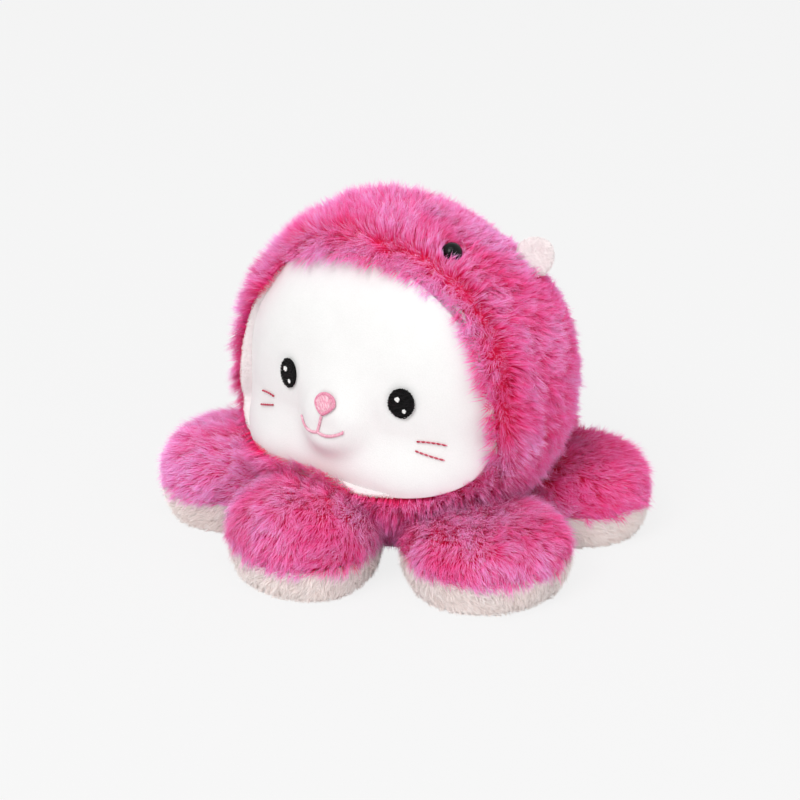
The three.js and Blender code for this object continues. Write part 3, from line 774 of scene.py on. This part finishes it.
def comb_lobe(outer, quads, keep, density, seed, start, swirls):
    """Roots and normals of a tentacle's pile, and its combing away from a point near the hinge."""
    tris = triangles(quads)
    count = int((areas(outer, tris) * keep).sum() * density)
    p, n = scatter(outer, tris, point_normals(outer, [quads]), count, seed, keep)
    flow = unit(tangent(p - start, n) + 0.004 * (p - start))
    swirl = sum(waves(p, wave_seed, size)[:, None] * share for wave_seed, size, share in swirls)
    return p, n, unit(flow + np.cross(n, flow) * swirl)


def build_lobes():
    for name, step, height, sides, shift in LOBES:
        turn = lobe_matrix(step).T
        body = "tentacle_" + name
        # pink upper panel
        node = body + "_upper"
        verts, faces, count, moved = lobe_shell(UPPER_INSET, CLOTH_T, height, "upper", sides)
        obj = make(node + "_backing", verts @ turn, faces, PINK_BACKING)
        put(obj, body, node)
        keep = moved[triangles(faces[0])].max(1) < 1.5
        start = np.array([HINGE_R - 14.0, 0.0, height * 0.72])
        swirls = ((50 + step, 30.0, 0.24), (56 + step, 13.0, 0.14))
        p, n, flow = comb_lobe(verts[:count], faces[0], keep, PILE_DENSITY, 40 + step, start, swirls)
        edge = smooth((p[:, 2] - LOBE_SEAM_Z) / 11.0)
        # the tone shift is painted shade on the left rear tentacle and painted light on the right front one
        obj = pile(node + "_pile", p @ turn, n @ turn, flow @ turn, PINK_PILE, 60 + step, **LOBE_PILE,
                   lean=66.0 - 6.0 * edge, root_lean=40.0 - 8.0 * edge, scale=0.80 + 0.18 * edge,
                   tone=shift, gather=0.30, stray=0.55)
        put(obj, body, node)
        # pale sole
        node = body + "_sole"
        verts, faces, count, moved = lobe_shell(SOLE_INSET, CLOTH_T, height, "sole", sides)
        verts[:, 2] = np.maximum(verts[:, 2] - 2.2 * (verts[:, 2] < 4.5), 0.4)
        obj = make(node + "_backing", verts @ turn, faces, PALE_BACKING)
        put(obj, body, node)
        outer, tris = verts[:count], triangles(faces[0])
        bare = moved[tris].max(1) < 0.2
        low = outer[tris][:, :, 2].mean(1) < 1.5
        start = np.array([HINGE_R - 10.0, 0.0, 26.0])
        for part, keep, density, look, seed in (
            ("side", bare & ~low, 3.0, SOLE_PILE, 80),
            ("under", bare & low, 0.9, FLAT_PILE, 90),
        ):
            swirls = ((seed + 7 + step, 24.0, 0.30),)
            p, n, flow = comb_lobe(outer, faces[0], keep, density, seed + step, start, swirls)
            if part == "side":
                edge = smooth(p[:, 2] / 9.0)
                look = dict(look, lean=77.0 - 8.0 * edge, root_lean=60.0 - 8.0 * edge,
                            scale=0.55 + 0.45 * edge, stray=0.7)
            obj = pile(node + "_pile_" + part, p @ turn, n @ turn, flow @ turn, PALE_PILE,
                       seed + 20 + step, **look, floor=0.0)
            put(obj, body, node)


# ---------------------------------------------------------------- face
def face_depth(x, h):
    """Depth of the padded face in front of the ball's centre."""
    full = BALL_R * (0.701 + 0.104 * smooth((-h - BALL_R * 0.065) / (BALL_R * 0.325)))
    middle = -BALL_R * 0.182
    reach = np.where(h > middle, BALL_R * 1.18, BALL_R * 0.909)
    inside = 1 - np.abs(x / (BALL_R * 0.909)) ** 2.6 - np.abs((h - middle) / reach) ** 2.6
    dome = full * np.maximum(inside, 0.001) ** (1 / 2.6)
    up = h + BALL_R * 0.078
    tall = np.where(up > 0, BALL_R * 0.27, BALL_R * 0.165)
    power = 1.9 - 0.9 * smooth(up / 16.0)
    spot = (x / (BALL_R * 0.215)) ** 2 + (up / tall) ** 2
    return dome + 9.2 * np.exp(-(spot**power))


def face_reach(p):
    """Distance from the ball's centre to the face in front of or behind some points."""
    x, h = p[:, 0], p[:, 2] - BALL_Z
    return np.sqrt(x**2 + h**2 + face_depth(x, h) ** 2)


def on_face(x, h, lift=0.0):
    """Points and normals on the face, seen from the front."""
    x, h = np.broadcast_arrays(np.asarray(x, float), np.asarray(h, float))
    d = 0.05
    slope_x = (face_depth(x + d, h) - face_depth(x - d, h)) / (2 * d)
    slope_h = (face_depth(x, h + d) - face_depth(x, h - d)) / (2 * d)
    n = unit(np.stack([-slope_x, -np.ones_like(x), -slope_h], -1))
    p = np.stack([x, -face_depth(x, h), BALL_Z + h], -1)
    return p + n * np.asarray(lift)[..., None], n


def opening_ring(count, grow):
    """Outline of the face opening from the front."""
    t = circle(count)
    c, s = np.cos(t), np.sin(t)
    power = np.where(s > 0, *OPEN_POWERS)
    rise = np.where(s > 0, OPEN_UP, OPEN_DOWN)
    x = signed_power(c, 2 / power) * (OPEN_HALF_W + grow)
    h = signed_power(s, 2 / power) * (rise + grow) + OPEN_MID
    return x, h


def even_ring(x, h, count):
    """The same closed outline with evenly spaced points."""
    x, h = np.append(x, x[0]), np.append(h, h[0])
    run = run_length(x, h)
    at = np.linspace(0, run[-1], count, endpoint=False)
    return np.interp(at, run, x), np.interp(at, run, h)


def build_face():
    turns, rows = 220, 90
    bx, bh = even_ring(*opening_ring(720, 1.6), turns)
    part = np.linspace(0.004, 1, rows) ** 0.9
    mid = -8.0
    x = (bx[None] * part[:, None]).ravel()
    h = (mid + (bh[None] - mid) * part[:, None]).ravel()
    front, n = on_face(x, h)
    # the velvet is drawn in round the stitched features
    give = 0.10 * waves(front, 101, 26.0)
    for _, sign in SIDES:
        far = np.hypot((x - sign * EYE_X - EYE_SHIFT) / EYE_WIDTH, (h - EYE_H) / EYE_HEIGHT) * 2
        give = give - 0.45 * bell(far - 1.05, 0.28)
    far = np.hypot((x - NOSE_X) / NOSE_WIDTH, (h - NOSE_H) / NOSE_HEIGHT) * 2
    give = give - 0.30 * bell(far - 1.05, 0.30)
    front = front + n * give[:, None]
    # its edge lies against the hood's ground
    rim = np.repeat(part, turns)
    reach = lengths(front - CENTRE)
    tuck = (rim > 0.97) & (reach > FACE_EDGE_R)
    front[tuck] = CENTRE + unit(front[tuck] - CENTRE) * FACE_EDGE_R
    rise = smooth((rim - 0.86) / 0.12) * np.maximum(FACE_EDGE_R + 2.0 * smooth(-x / 30.0 - 1.0) - reach, 0)
    rise = rise * (1 - 0.85 * smooth((-h - 20.0) / 10.0))
    front = front + unit(front - CENTRE) * rise[:, None]
    verts = np.concatenate([front, front - n * 2.0])
    obj = make("face_panel_velvet", verts, closed_sheet(rows, turns), FACE_CLOTH)
    put(obj, "body", "face_panel")


def build_binding():
    """Facing of the face opening: a rolled strip with short pile."""
    turns, sides = 300, 20
    bx, bh = even_ring(*opening_ring(900, 0.1), turns)
    y = -np.sqrt(np.maximum(RIM_R**2 - bx**2 - bh**2, 1.0))
    mid = np.stack([bx, y, BALL_Z + bh], -1)
    n = unit(mid - CENTRE)
    covered = smooth(-rim_start(mid) / COVER_FADE)
    along = unit(np.roll(mid, -1, 0) - np.roll(mid, 1, 0))
    out = np.cross(along, n)
    outward = np.sign(np.sum(out * (mid - CENTRE - [0, -60, 0]), 1))
    mid = mid - out * drawn_in(mid)[:, None] * outward[:, None]
    n = unit(mid - CENTRE)
    full = swell(n)[0]
    under = np.clip(RIM_R + full - face_reach(mid) + 1.5, 3.0, 8.0) * covered
    mid = mid + n * (full - under)[:, None]
    a = circle(sides)
    # the strip reaches down to the face, evened out along its run
    deep = np.clip(73.6 - np.sqrt(bx**2 + bh**2 + face_depth(bx * 0.985, bh * 0.985) ** 2), 1.4, 9.0)
    deep = np.convolve(np.tile(deep, 3), np.full(15, 1 / 15), "same")[turns : 2 * turns]
    deep = deep + np.maximum(full, 0) + 0.8
    bend = signed_power(np.sin(a), 0.8)
    show = (1 - overhang(mid)) * (0.9 + 0.9 * smooth((4.0 - bh) / 24.0))
    show = 0.5 + show * (1 - 0.8 * smooth((-22.0 - bh) / 12.0))
    tall = bend[None] * np.where(bend > 0, show[:, None], deep[:, None])
    wide = np.repeat(0.8 * np.cos(a)[None], turns, 0)
    wave = 1 + 0.06 * waves(mid, 131, 9.0)
    verts = mid[:, None] + out[:, None] * wide[..., None] + n[:, None] * (tall * wave[:, None])[..., None]
    verts = verts.reshape(-1, 3)
    quads = grid_quads(turns + 1, sides) % (turns * sides)
    normals = -point_normals(verts, [quads])
    quads = quads[:, ::-1]
    obj = make("face_binding_roll", verts, [quads], TRIM_BACKING)
    put(obj, "body", "face_binding")
    tris = triangles(quads)
    keep = lengths(verts[tris].mean(1) - CENTRE) > 63.0
    p, pn = scatter(verts, tris, normals, FACING_STRANDS, 133, keep)
    flow = unit(tangent(unit(p - CENTRE), pn) + 1e-3)
    obj = pile("face_binding_pile", p, pn, flow, TRIM_PILE_LOOK, 134, **TRIM_PILE, gather=0.35)
    put(obj, "body", "face_binding")


# ---------------------------------------------------------------- embroidery
def stitches(path, normals, radius, sides=6):
    """Closed threads through points: arrays of stitch, point and axis."""
    count, steps = path.shape[:2]
    run = np.gradient(path, axis=1)
    side = unit(np.cross(run, normals))
    lift = unit(np.cross(side, run))
    a = circle(sides)[:, None]
    thick = radius[:, :, None, None]
    ring = path[:, :, None] + side[:, :, None] * (np.cos(a) * thick) + lift[:, :, None] * (np.sin(a) * thick)
    base = (np.arange(count) * steps * sides)[:, None, None]
    quads = (base + grid_quads(steps, sides)[None]).reshape(-1, 4)[:, ::-1]
    first = base[:, 0] + np.arange(sides)[None]
    last = (base[:, 0] + (steps - 1) * sides + np.arange(sides)[None])[:, ::-1]
    return ring.reshape(-1, 3), [quads, first, last]


def sewn(node, groups, material, patch=None):
    """One piece from groups of stitches, with a tone for every thread, on a padded patch if there is one."""
    verts, faces, tones, total = [], [], [], 0
    if patch:
        verts, faces, total = [patch[0]], list(patch[1]), len(patch[0])
        tones = [np.full(total, 0.25)]
    for path, normals, radius, tone in groups:
        v, fs = stitches(path, normals, radius)
        verts.append(v)
        faces.extend(f + total for f in fs)
        tones.append(np.repeat(tone, len(v) // len(path)))
        total += len(v)
    obj = make(node + "_stitching", np.concatenate(verts), faces, material, {"tone": np.concatenate(tones)})
    put(obj, "body", node)


def face_stitch(x0, h0, x1, h1, lift, top, radius, tone, steps=6):
    """A group of stitches from one place on the face to another, arched in the middle."""
    t = np.linspace(0, 1, steps)[None]
    lift, top, radius = (np.broadcast_to(v, x0.shape)[:, None] for v in (lift, top, radius))
    x = x0[:, None] + (x1 - x0)[:, None] * t
    h = h0[:, None] + (h1 - h0)[:, None] * t
    p, n = on_face(x, h, lift + top * np.sin(math.pi * t) ** 0.6)
    return p, n, radius * (0.35 + 0.65 * np.sin(math.pi * (0.06 + 0.88 * t)) ** 0.5), tone


def fill_rows(cx, ch, width, height, angle, pitch, length, rng, outline=None, ragged=0.35):
    """Ends of stitches in rows that fill an oval, or another outline, round a place on the face."""
    a = math.radians(angle)
    cos, sin = math.cos(a), math.sin(a)
    reach = max(width, height) / 2 + 1
    spots = []
    line = np.linspace(-reach, reach, 400)
    for row, v in enumerate(np.arange(-reach, reach, pitch)):
        x = line * cos - v * sin
        h = line * sin + v * cos
        inside = outline(x, h) if outline else (2 * x / width) ** 2 + (2 * h / height) ** 2 < 1
        if inside.sum() < 6:
            continue
        low = line[inside].min() - rng.uniform(-0.1, ragged)
        high = line[inside].max() + rng.uniform(-0.1, ragged)
        at = low - (row % 3) * length / 3
        while at < high:
            start, end = max(at, low), min(at + length, high)
            if end - start > 0.5:
                spots.append((start, end, v + rng.normal() * pitch * 0.12))
            at += length * rng.uniform(0.9, 1.1)
    start, end, across = np.array(spots).T
    ends = []
    for at in (start, end):
        ends += [cx + (at * cos - across * sin), ch + (at * sin + across * cos)]
    return ends


def pad_patch(cx, ch, outline, low=0.15, high=0.75, rows=10):
    """Closed low dome under a stitched area."""
    count = len(outline)
    part = np.linspace(0.03, 1, rows)
    x = cx + outline[None, :, 0] * part[:, None]
    h = ch + outline[None, :, 1] * part[:, None]
    rise = low + (high - low) * (1 - part**4)[:, None] * np.ones((1, count))
    top, _ = on_face(x, h, rise)
    under, _ = on_face(x, h, np.full_like(x, low - 0.25))
    return np.concatenate([top.reshape(-1, 3), under.reshape(-1, 3)]), closed_sheet(rows, count)


def oval(width, height, count=48):
    t = circle(count)
    return np.stack([width / 2 * np.cos(t), height / 2 * np.sin(t)], -1)


def nose_outline(trim, count):
    """Oval that narrows downward."""
    shape = oval(NOSE_WIDTH - trim, NOSE_HEIGHT - trim, count)
    shape[:, 0] *= nose_taper(shape[:, 1])
    return shape


def nose_taper(h):
    return np.where(h < 0, 1 - 0.55 * np.clip(-2 * h / NOSE_HEIGHT, 0, 1) ** 1.2, 1.0)


def build_eyes():
    for side, sign in SIDES:
        rng = np.random.default_rng(200 + int(sign))
        cx = sign * EYE_X + EYE_SHIFT + (1 - sign) * 0.3
        width = EYE_WIDTH * (1 if sign > 0 else 0.88)
        ends = fill_rows(cx, EYE_H, width, EYE_HEIGHT, EYE_SLANT, 0.40, 3.3, rng)
        count = len(ends[0])
        fill = face_stitch(*ends, 0.45, rng.uniform(0.25, 0.5, count), 0.27, rng.uniform(0, 1, count))
        patch = pad_patch(cx, EYE_H, oval(width - 0.5, EYE_HEIGHT - 0.5))
        sewn(f"eye_{side}", [fill], BLACK_THREAD, patch)
        for which, dx, dh, wide in (("upper", -0.14, 0.13, 2.2), ("lower", 0.14, -0.24, 1.7)):
            gx, gh = cx + dx * width, EYE_H + dh * EYE_HEIGHT
            ends = fill_rows(gx, gh, wide, wide, EYE_SLANT, 0.36, 4.0, rng, ragged=0.2)
            shine = face_stitch(*ends, 0.95, 0.3, 0.27, rng.uniform(0.3, 1, len(ends[0])))
            sewn(f"eye_{side}_glint_{which}", [shine], WHITE_THREAD)


def build_nose():
    rng = np.random.default_rng(220)

    def inside(x, h):
        return (2 * x / (NOSE_WIDTH * nose_taper(h))) ** 2 + (2 * h / NOSE_HEIGHT) ** 2 < 0.86

    ends = fill_rows(NOSE_X, NOSE_H, NOSE_WIDTH, NOSE_HEIGHT, -38.0, 0.42, 2.3, rng, inside, 0.1)
    count = len(ends[0])
    top = rng.uniform(0.15, 0.45, count)
    tone = rng.uniform(0.6, 1.0, count) * np.where(rng.random(count) < 0.2, 0.6, 1)
    groups = [face_stitch(*ends, 0.45, top, 0.26, tone)]
    # slanted stitches across the edge
    count = 92
    ex, eh = even_ring(*nose_outline(0.0, 400).T, count)
    run_x, run_h = np.roll(ex, -1) - np.roll(ex, 1), np.roll(eh, -1) - np.roll(eh, 1)
    size = np.hypot(run_x, run_h)
    wide = 0.62 + rng.uniform(-0.06, 0.06, count)
    dx = (run_h / size - run_x / size * 0.45) * wide
    dh = (-run_x / size - run_h / size * 0.45) * wide
    ex, eh = ex + NOSE_X, NOSE_H + eh
    groups.append(face_stitch(ex + dx, eh + dh, ex - dx, eh - dh, 0.4, 0.55, 0.26, rng.uniform(0.1, 0.45, count)))
    sewn("nose", groups, ROSE_THREAD, pad_patch(NOSE_X, NOSE_H, nose_outline(0.6, 48)))


def satin_line(x, h, wide, pitch, rng):
    """Slanted short stitches across a drawn line."""
    run = run_length(x, h)
    at = np.arange(0.1, run[-1], pitch)
    px, ph = np.interp(at, run, x), np.interp(at, run, h)
    tx, th = (np.interp(at + 0.2, run, v) - np.interp(at - 0.2, run, v) for v in (x, h))
    size = np.maximum(np.hypot(tx, th), 1e-6)
    tx, th = tx / size, th / size
    ox, oh = -th + 0.8 * tx, tx + 0.8 * th
    size = np.hypot(ox, oh)
    half = wide / 2 * (1 + rng.uniform(-0.08, 0.08, len(at)))
    ox, oh = ox / size * half * 1.28, oh / size * half * 1.28
    return face_stitch(px - ox, ph - oh, px + ox, ph + oh, 0.25, 0.5, 0.25, rng.uniform(0.25, 0.85, len(at)))


def build_mouth():
    rng = np.random.default_rng(230)
    s = np.linspace(-1, 1, 81)
    wave = np.sin(math.pi * np.minimum(np.abs(s) * 0.72 + 0.28, 1)) ** 0.9
    x = BALL_R * 0.155 * s - 3.2 * (1 - 0.3 * s)
    h = -BALL_R * 0.080 - BALL_R * 0.042 * wave
    stem_x = np.linspace(NOSE_X - 0.4, x[40], 20)
    stem_h = np.linspace(NOSE_H - NOSE_HEIGHT / 2 - 0.9, h[40], 20)
    groups = [satin_line(x, h, 1.15, 0.30, rng), satin_line(stem_x, stem_h, 1.05, 0.30, rng)]
    sewn("mouth", groups, ROSE_THREAD)


def build_whiskers():
    count = 6
    for side, sign in SIDES:
        rng = np.random.default_rng(240 + int(sign))
        t = np.linspace(0, 1, 60)
        x = sign * BALL_R * (0.51 + (0.155 if sign > 0 else 0.125) * t) + (1 - sign) * 1.0
        rise = (1 - sign) * 1.1
        for which, h in (
            ("upper", rise - BALL_R * (0.098 - 0.03 * t * (1 - t) + 0.012 * t)),
            ("lower", rise - BALL_R * (0.15 + 0.042 * t)),
        ):
            run = run_length(x, h)
            pitch = run[-1] / count
            start = np.arange(count) * pitch
            groups = []
            for first, last, lift, top, thick, tone in (
                (start + 0.10, start + pitch * 0.74, 0.2, 0.42, 0.44, (0.0, 0.25)),
                (start + pitch * 0.62, start + pitch * 1.06, 0.1, 0.25, 0.34, (0.75, 1.0)),
            ):
                last = np.minimum(last, run[-1])
                ends = [np.interp(at, run, line) for at in (first, last) for line in (x, h)]
                groups.append(face_stitch(*ends, lift, top, thick, rng.uniform(*tone, count)))
            sewn(f"whisker_{side}_{which}", groups, RED_THREAD)


# ---------------------------------------------------------------- ears
def build_ears():
    rows, cols = 30, 33
    for side, sign in SIDES:
        root, across, up, front = ear_frame(sign)
        for which, face in (("front", 1.0), ("back", -1.0)):
            b = 1.36 * np.linspace(0.0, 1.0, rows) ** 0.8 - 0.36
            high = b * (EAR_HEIGHT - 1.8)
            half = 0.86 * EAR_WIDTH / 2 * np.maximum(1 - np.maximum(b, 0) ** 3.0, 0.0) ** 0.56 + 0.05
            half = half * (0.74 + 0.26 * smooth((b + 0.36) / 0.6))
            a = np.linspace(-1, 1, cols)
            bulge = np.sqrt(np.maximum(1 - np.abs(a) ** 2.6, 0))[None]
            bulge = bulge * np.sqrt(np.maximum(1 - np.maximum(b, 0) ** 5, 0))[:, None]
            thick = (2.35 - 0.85 * np.maximum(b, 0))[:, None] * bulge
            if face > 0:
                dish = bell(a[None], 0.55) * bell(b[:, None] - 0.42, 0.34)
                thick = thick * (1 - 0.45 * dish)
            wide = a[None] * half[:, None]
            tall = np.repeat(high[:, None], cols, 1)
            lift = -0.016 * wide**2 + 0.4
            outer, inner = (
                (root + across * w[..., None] + up * (tall + lift)[..., None] + front * d[..., None]).reshape(-1, 3)
                for w, d in ((wide, face * (0.12 + thick)), (wide * 0.98, np.full_like(wide, face * 0.06)))
            )
            count = rows * cols
            quads = grid_quads(rows, cols, wrap=False)
            edge = np.concatenate([
                np.arange(cols),
                np.arange(1, rows) * cols + cols - 1,
                (rows - 1) * cols + np.arange(cols - 2, -1, -1),
                np.arange(rows - 2, 0, -1) * cols,
            ])
            follow = np.roll(edge, -1)
            wall = np.stack([edge, follow, follow + count, edge + count], -1)
            verts = np.concatenate([outer, inner])
            faces = [quads, quads[:, ::-1] + count, wall[:, ::-1]]
            if face < 0:
                faces = [f[:, ::-1] for f in faces]
            node = f"ear_{side}_{which}"
            obj = make(node + "_velvet", verts, faces, TRIM_BACKING)
            put(obj, f"ear_{side}", node)
            skin = faces[0]
            seed = 250 + int(sign) + int(face) * 3
            p, n = scatter(outer, triangles(skin), point_normals(outer, [skin]), EAR_STRANDS, seed)
            flow = unit(tangent(up[None] + 0.5 * unit(p - root), n) + 1e-4)
            obj = pile(node + "_pile", p, n, flow, TRIM_PILE_LOOK, seed + 10, **EAR_PILE, gather=0.3)
            put(obj, f"ear_{side}", node)


# ---------------------------------------------------------------- costume eyes, base and filling
def turned(profile, direction, count=48):
    """A turned piece on the ball, from radius and height pairs."""
    profile = np.array(profile)
    side = np.array([1.0, 0, 0])
    side = unit(side - direction * side.dot(direction))
    front = np.cross(side, direction)
    a = circle(count)
    ring = side[None] * np.cos(a)[:, None] + front[None] * np.sin(a)[:, None]
    verts = CENTRE + profile[:, 0, None, None] * ring[None] + profile[:, 1, None, None] * direction
    return verts.reshape(-1, 3), capped(len(profile), count)


def build_beads():
    t = np.linspace(0, math.pi / 2, 14)[:-1]
    for side, sign in SIDES:
        profile = [(SHANK_R, SHANK_END), (SHANK_R, BEAD_SEAT - 0.4), (SHANK_R + 0.3, BEAD_SEAT),
                   (BEAD_R - 0.35, BEAD_SEAT), (BEAD_R - 0.05, BEAD_SEAT + 0.12)]
        profile += [(BEAD_R * math.cos(v), BEAD_SEAT + 0.3 + (BEAD_DOME - 0.3) * math.sin(v)) for v in t]
        profile += [(0.06, BEAD_SEAT + BEAD_DOME)]
        verts, faces = turned(profile, bead_direction(sign))
        obj = make(f"costume_eye_{side}_bead", verts, faces, BEAD_PLASTIC)
        put(obj, "body", f"costume_eye_{side}")
        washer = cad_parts[f"eye_washer_{side}"]
        washer.data.materials.clear()
        washer.data.materials.append(WASHER_PLASTIC)


def build_base():
    turns = 96
    t = np.linspace(0, 1, 12) * math.pi / 2
    r = np.concatenate([np.linspace(0.5, BASE_FLAT_R, 18)[:-1], BASE_FLAT_R + (BASE_R - BASE_FLAT_R) * np.sin(t)])
    z = np.concatenate([np.full(17, 0.5), 0.5 + (BASE_Z - 0.7) * (1 - np.cos(t))])
    a = circle(turns)

    def surface(shrink, lift):
        rr = np.maximum(r - shrink, 0.3)
        return np.stack([rr[:, None] * np.cos(a)[None], rr[:, None] * np.sin(a)[None],
                         np.repeat(np.minimum(z + lift, BASE_Z)[:, None], turns, 1)], -1).reshape(-1, 3)

    # drawn in from the solid, to stay clear of the soles when they swing
    outer, inner = surface(BASE_INSET, 0.0), surface(BASE_INSET + BASE_T, BASE_T)
    faces = closed_sheet(len(r), turns)
    obj = make("base_panel_backing", np.concatenate([outer, inner]), faces, PALE_BACKING)
    put(obj, "body", "base_panel")
    skin = faces[0]
    p, n = scatter(outer, triangles(skin), point_normals(outer, [skin]), BASE_STRANDS, 300)
    flow = unit(tangent(p - np.array([0, 0, 30.0]), n) + 1e-3)
    obj = pile("base_panel_pile", p, n, flow, PALE_PILE, 301, **FLAT_PILE, floor=0.0)
    put(obj, "body", "base_panel")


def wad(name, verts, faces, seed, depth, body, node):
    """A lump of fibre: bumps that only go inward from the room it fills."""
    n = point_normals(verts, faces)
    bumps = 0.5 + 0.25 * waves(verts, seed, 14.0) + 0.2 * waves(verts, seed + 1, 5.0)
    verts = verts - n * (depth * np.clip(bumps, 0, 1))[:, None]
    obj = make(name, verts, faces, FIBRE)
    put(obj, body, node)


def build_filling():
    rows, turns = 60, 110
    d = sphere(rows, turns, 0.01)
    # furthest reach in each direction inside the face and above the base
    low, high = np.full(len(d), 5.0), np.full(len(d), SKIN_R - 2.0)
    for _ in range(30):
        r = (low + high) / 2
        p = d * r[:, None]
        fits = -p[:, 1] < face_depth(p[:, 0], p[:, 2]) - 3.2
        fits &= p[:, 2] > -BALL_Z + 4.8
        low, high = np.where(fits, r, low), np.where(fits, high, r)
    verts = CENTRE + d * low[:, None]
    # pressed in under the washers of the costume eyes
    for _, sign in SIDES:
        b = bead_direction(sign)
        local = verts - CENTRE
        tall = local @ b
        wide = lengths(local - tall[:, None] * b)
        press = (wide < 9) & (tall > 60)
        verts[press] -= b * (np.maximum(tall[press] - 66.0, 0) * smooth((9 - wide[press]) / 3))[:, None]
    wad("body_filling", verts, capped(rows, turns), 320, 1.4, "body", "body_stuffing")
    turns, upper_rows, under_rows = 48, 22, 16
    for name, step, height, sides, _ in LOBES:
        upper = lobe_grid(FUR_T + 0.8, height, "upper", turns, upper_rows, sides)
        under = lobe_grid(FUR_T + 0.8, height, "sole", turns, under_rows, sides)[turns:]
        verts, _ = clear_of_body(np.concatenate([upper, under]), 1.2)
        faces = capped(upper_rows + under_rows - 1, turns)
        body = f"tentacle_{name}"
        wad(body + "_filling", verts @ lobe_matrix(step).T, faces, 330 + step, 1.2, body, body + "_stuffing")


# ---------------------------------------------------------------- stage, light and camera
VIEW_TURN = math.radians(34.96)
VIEW_RISE = math.radians(26.05)
VIEW_FAR = 1.3
VIEW_AIM = (-0.003433, 0.05255)
LENS = 126.95
BACKGROUND = (0.922, 0.922, 0.922, 1)
FLOOR_COLOR = (0.93, 0.93, 0.93, 1)
FLOOR_SIZE = 6.0
FLOOR_GLOW = 0.90
WORLD_LIGHT = 0.52
LAMP_TARGET = Vector((0, 0, 0.06))
# Lamps: name, place toward the camera, to its right and up, size, power
LAMPS = (
    ("key", 1.3, -0.8, 1.0, 1.0, 16.5),
    ("fill", 1.4, 1.2, -0.2, 1.4, 6.2),
    ("top", 0.7, -0.35, 1.8, 1.6, 11.0),
)


def aimed(name, data, place, target):
    """A camera or lamp that looks from one place to another."""
    obj = bpy.data.objects.new(name, data)
    obj.location = place
    obj.rotation_euler = (target - place).to_track_quat("-Z", "Y").to_euler()
    bpy.context.scene.collection.objects.link(obj)
    return obj


def build_stage():
    scene = bpy.context.scene
    scene.view_settings.view_transform = "Standard"
    right = Vector((math.cos(VIEW_TURN), math.sin(VIEW_TURN), 0))
    flat = math.cos(VIEW_RISE)
    toward = Vector((math.sin(VIEW_TURN) * flat, -math.cos(VIEW_TURN) * flat, math.sin(VIEW_RISE)))
    camera = bpy.data.cameras.new("camera")
    camera.lens = LENS
    camera.sensor_width = 36.0
    camera.clip_start = 0.01
    camera.clip_end = 50.0
    aim = right * VIEW_AIM[0] + toward.cross(right) * VIEW_AIM[1]
    scene.camera = aimed("camera", camera, toward * VIEW_FAR, aim)
    for name, near, aside, up, size, power in LAMPS:
        light = bpy.data.lights.new(name, "AREA")
        light.shape = "DISK"
        light.size = size
        light.energy = power
        aimed(name, light, toward * near + right * aside + Vector((0, 0, up)), LAMP_TARGET)

    # the world lights the toy plainly, and shows the background to the camera and in reflections
    world = bpy.data.worlds.new("studio")
    scene.world = world
    world.use_nodes = True
    nodes, link = world.node_tree.nodes, world.node_tree.links.new
    nodes.clear()
    path = add(nodes, "LightPath")
    shown = path.outputs["Is Camera Ray"]
    for ray in ("Is Glossy Ray", "Is Transmission Ray"):
        either = math_node(nodes, "MAXIMUM")
        link(shown, either.inputs[0])
        link(path.outputs[ray], either.inputs[1])
        shown = either.outputs["Value"]
    light = add(nodes, "Background", Color=(1, 1, 1, 1), Strength=WORLD_LIGHT)
    seen = add(nodes, "Background", Color=BACKGROUND)
    mixed(nodes, link, shown, light.outputs[0], seen.outputs[0], add(nodes, "OutputWorld"))

    # the floor keeps the shadow and glows a little for the camera
    mesh = bpy.data.meshes.new("floor")
    corners = [(x * FLOOR_SIZE, y * FLOOR_SIZE, 0) for x, y in ((-1, -1), (1, -1), (1, 1), (-1, 1))]
    mesh.from_pydata(corners, [], [(0, 1, 2, 3)])
    floor = bpy.data.objects.new("floor", mesh)
    scene.collection.objects.link(floor)
    material, nodes, link, shader = new_material("floor_pale")
    preset(shader, Base_Color=FLOOR_COLOR, Roughness=1.0, Specular_IOR_Level=0.0)
    glow = add(nodes, "Emission", Color=BACKGROUND)
    part = math_node(nodes, "MULTIPLY")
    part.inputs[1].default_value = FLOOR_GLOW
    link(add(nodes, "LightPath").outputs["Is Camera Ray"], part.inputs[0])
    mixed(nodes, link, part.outputs["Value"], shader.outputs[0], glow.outputs[0], nodes["Material Output"])
    mesh.materials.append(material)


build_stage()
build_face()
build_binding()
build_eyes()
build_nose()
build_mouth()
build_whiskers()
build_ears()
build_beads()
build_base()
build_filling()
build_hood()
build_lobes()
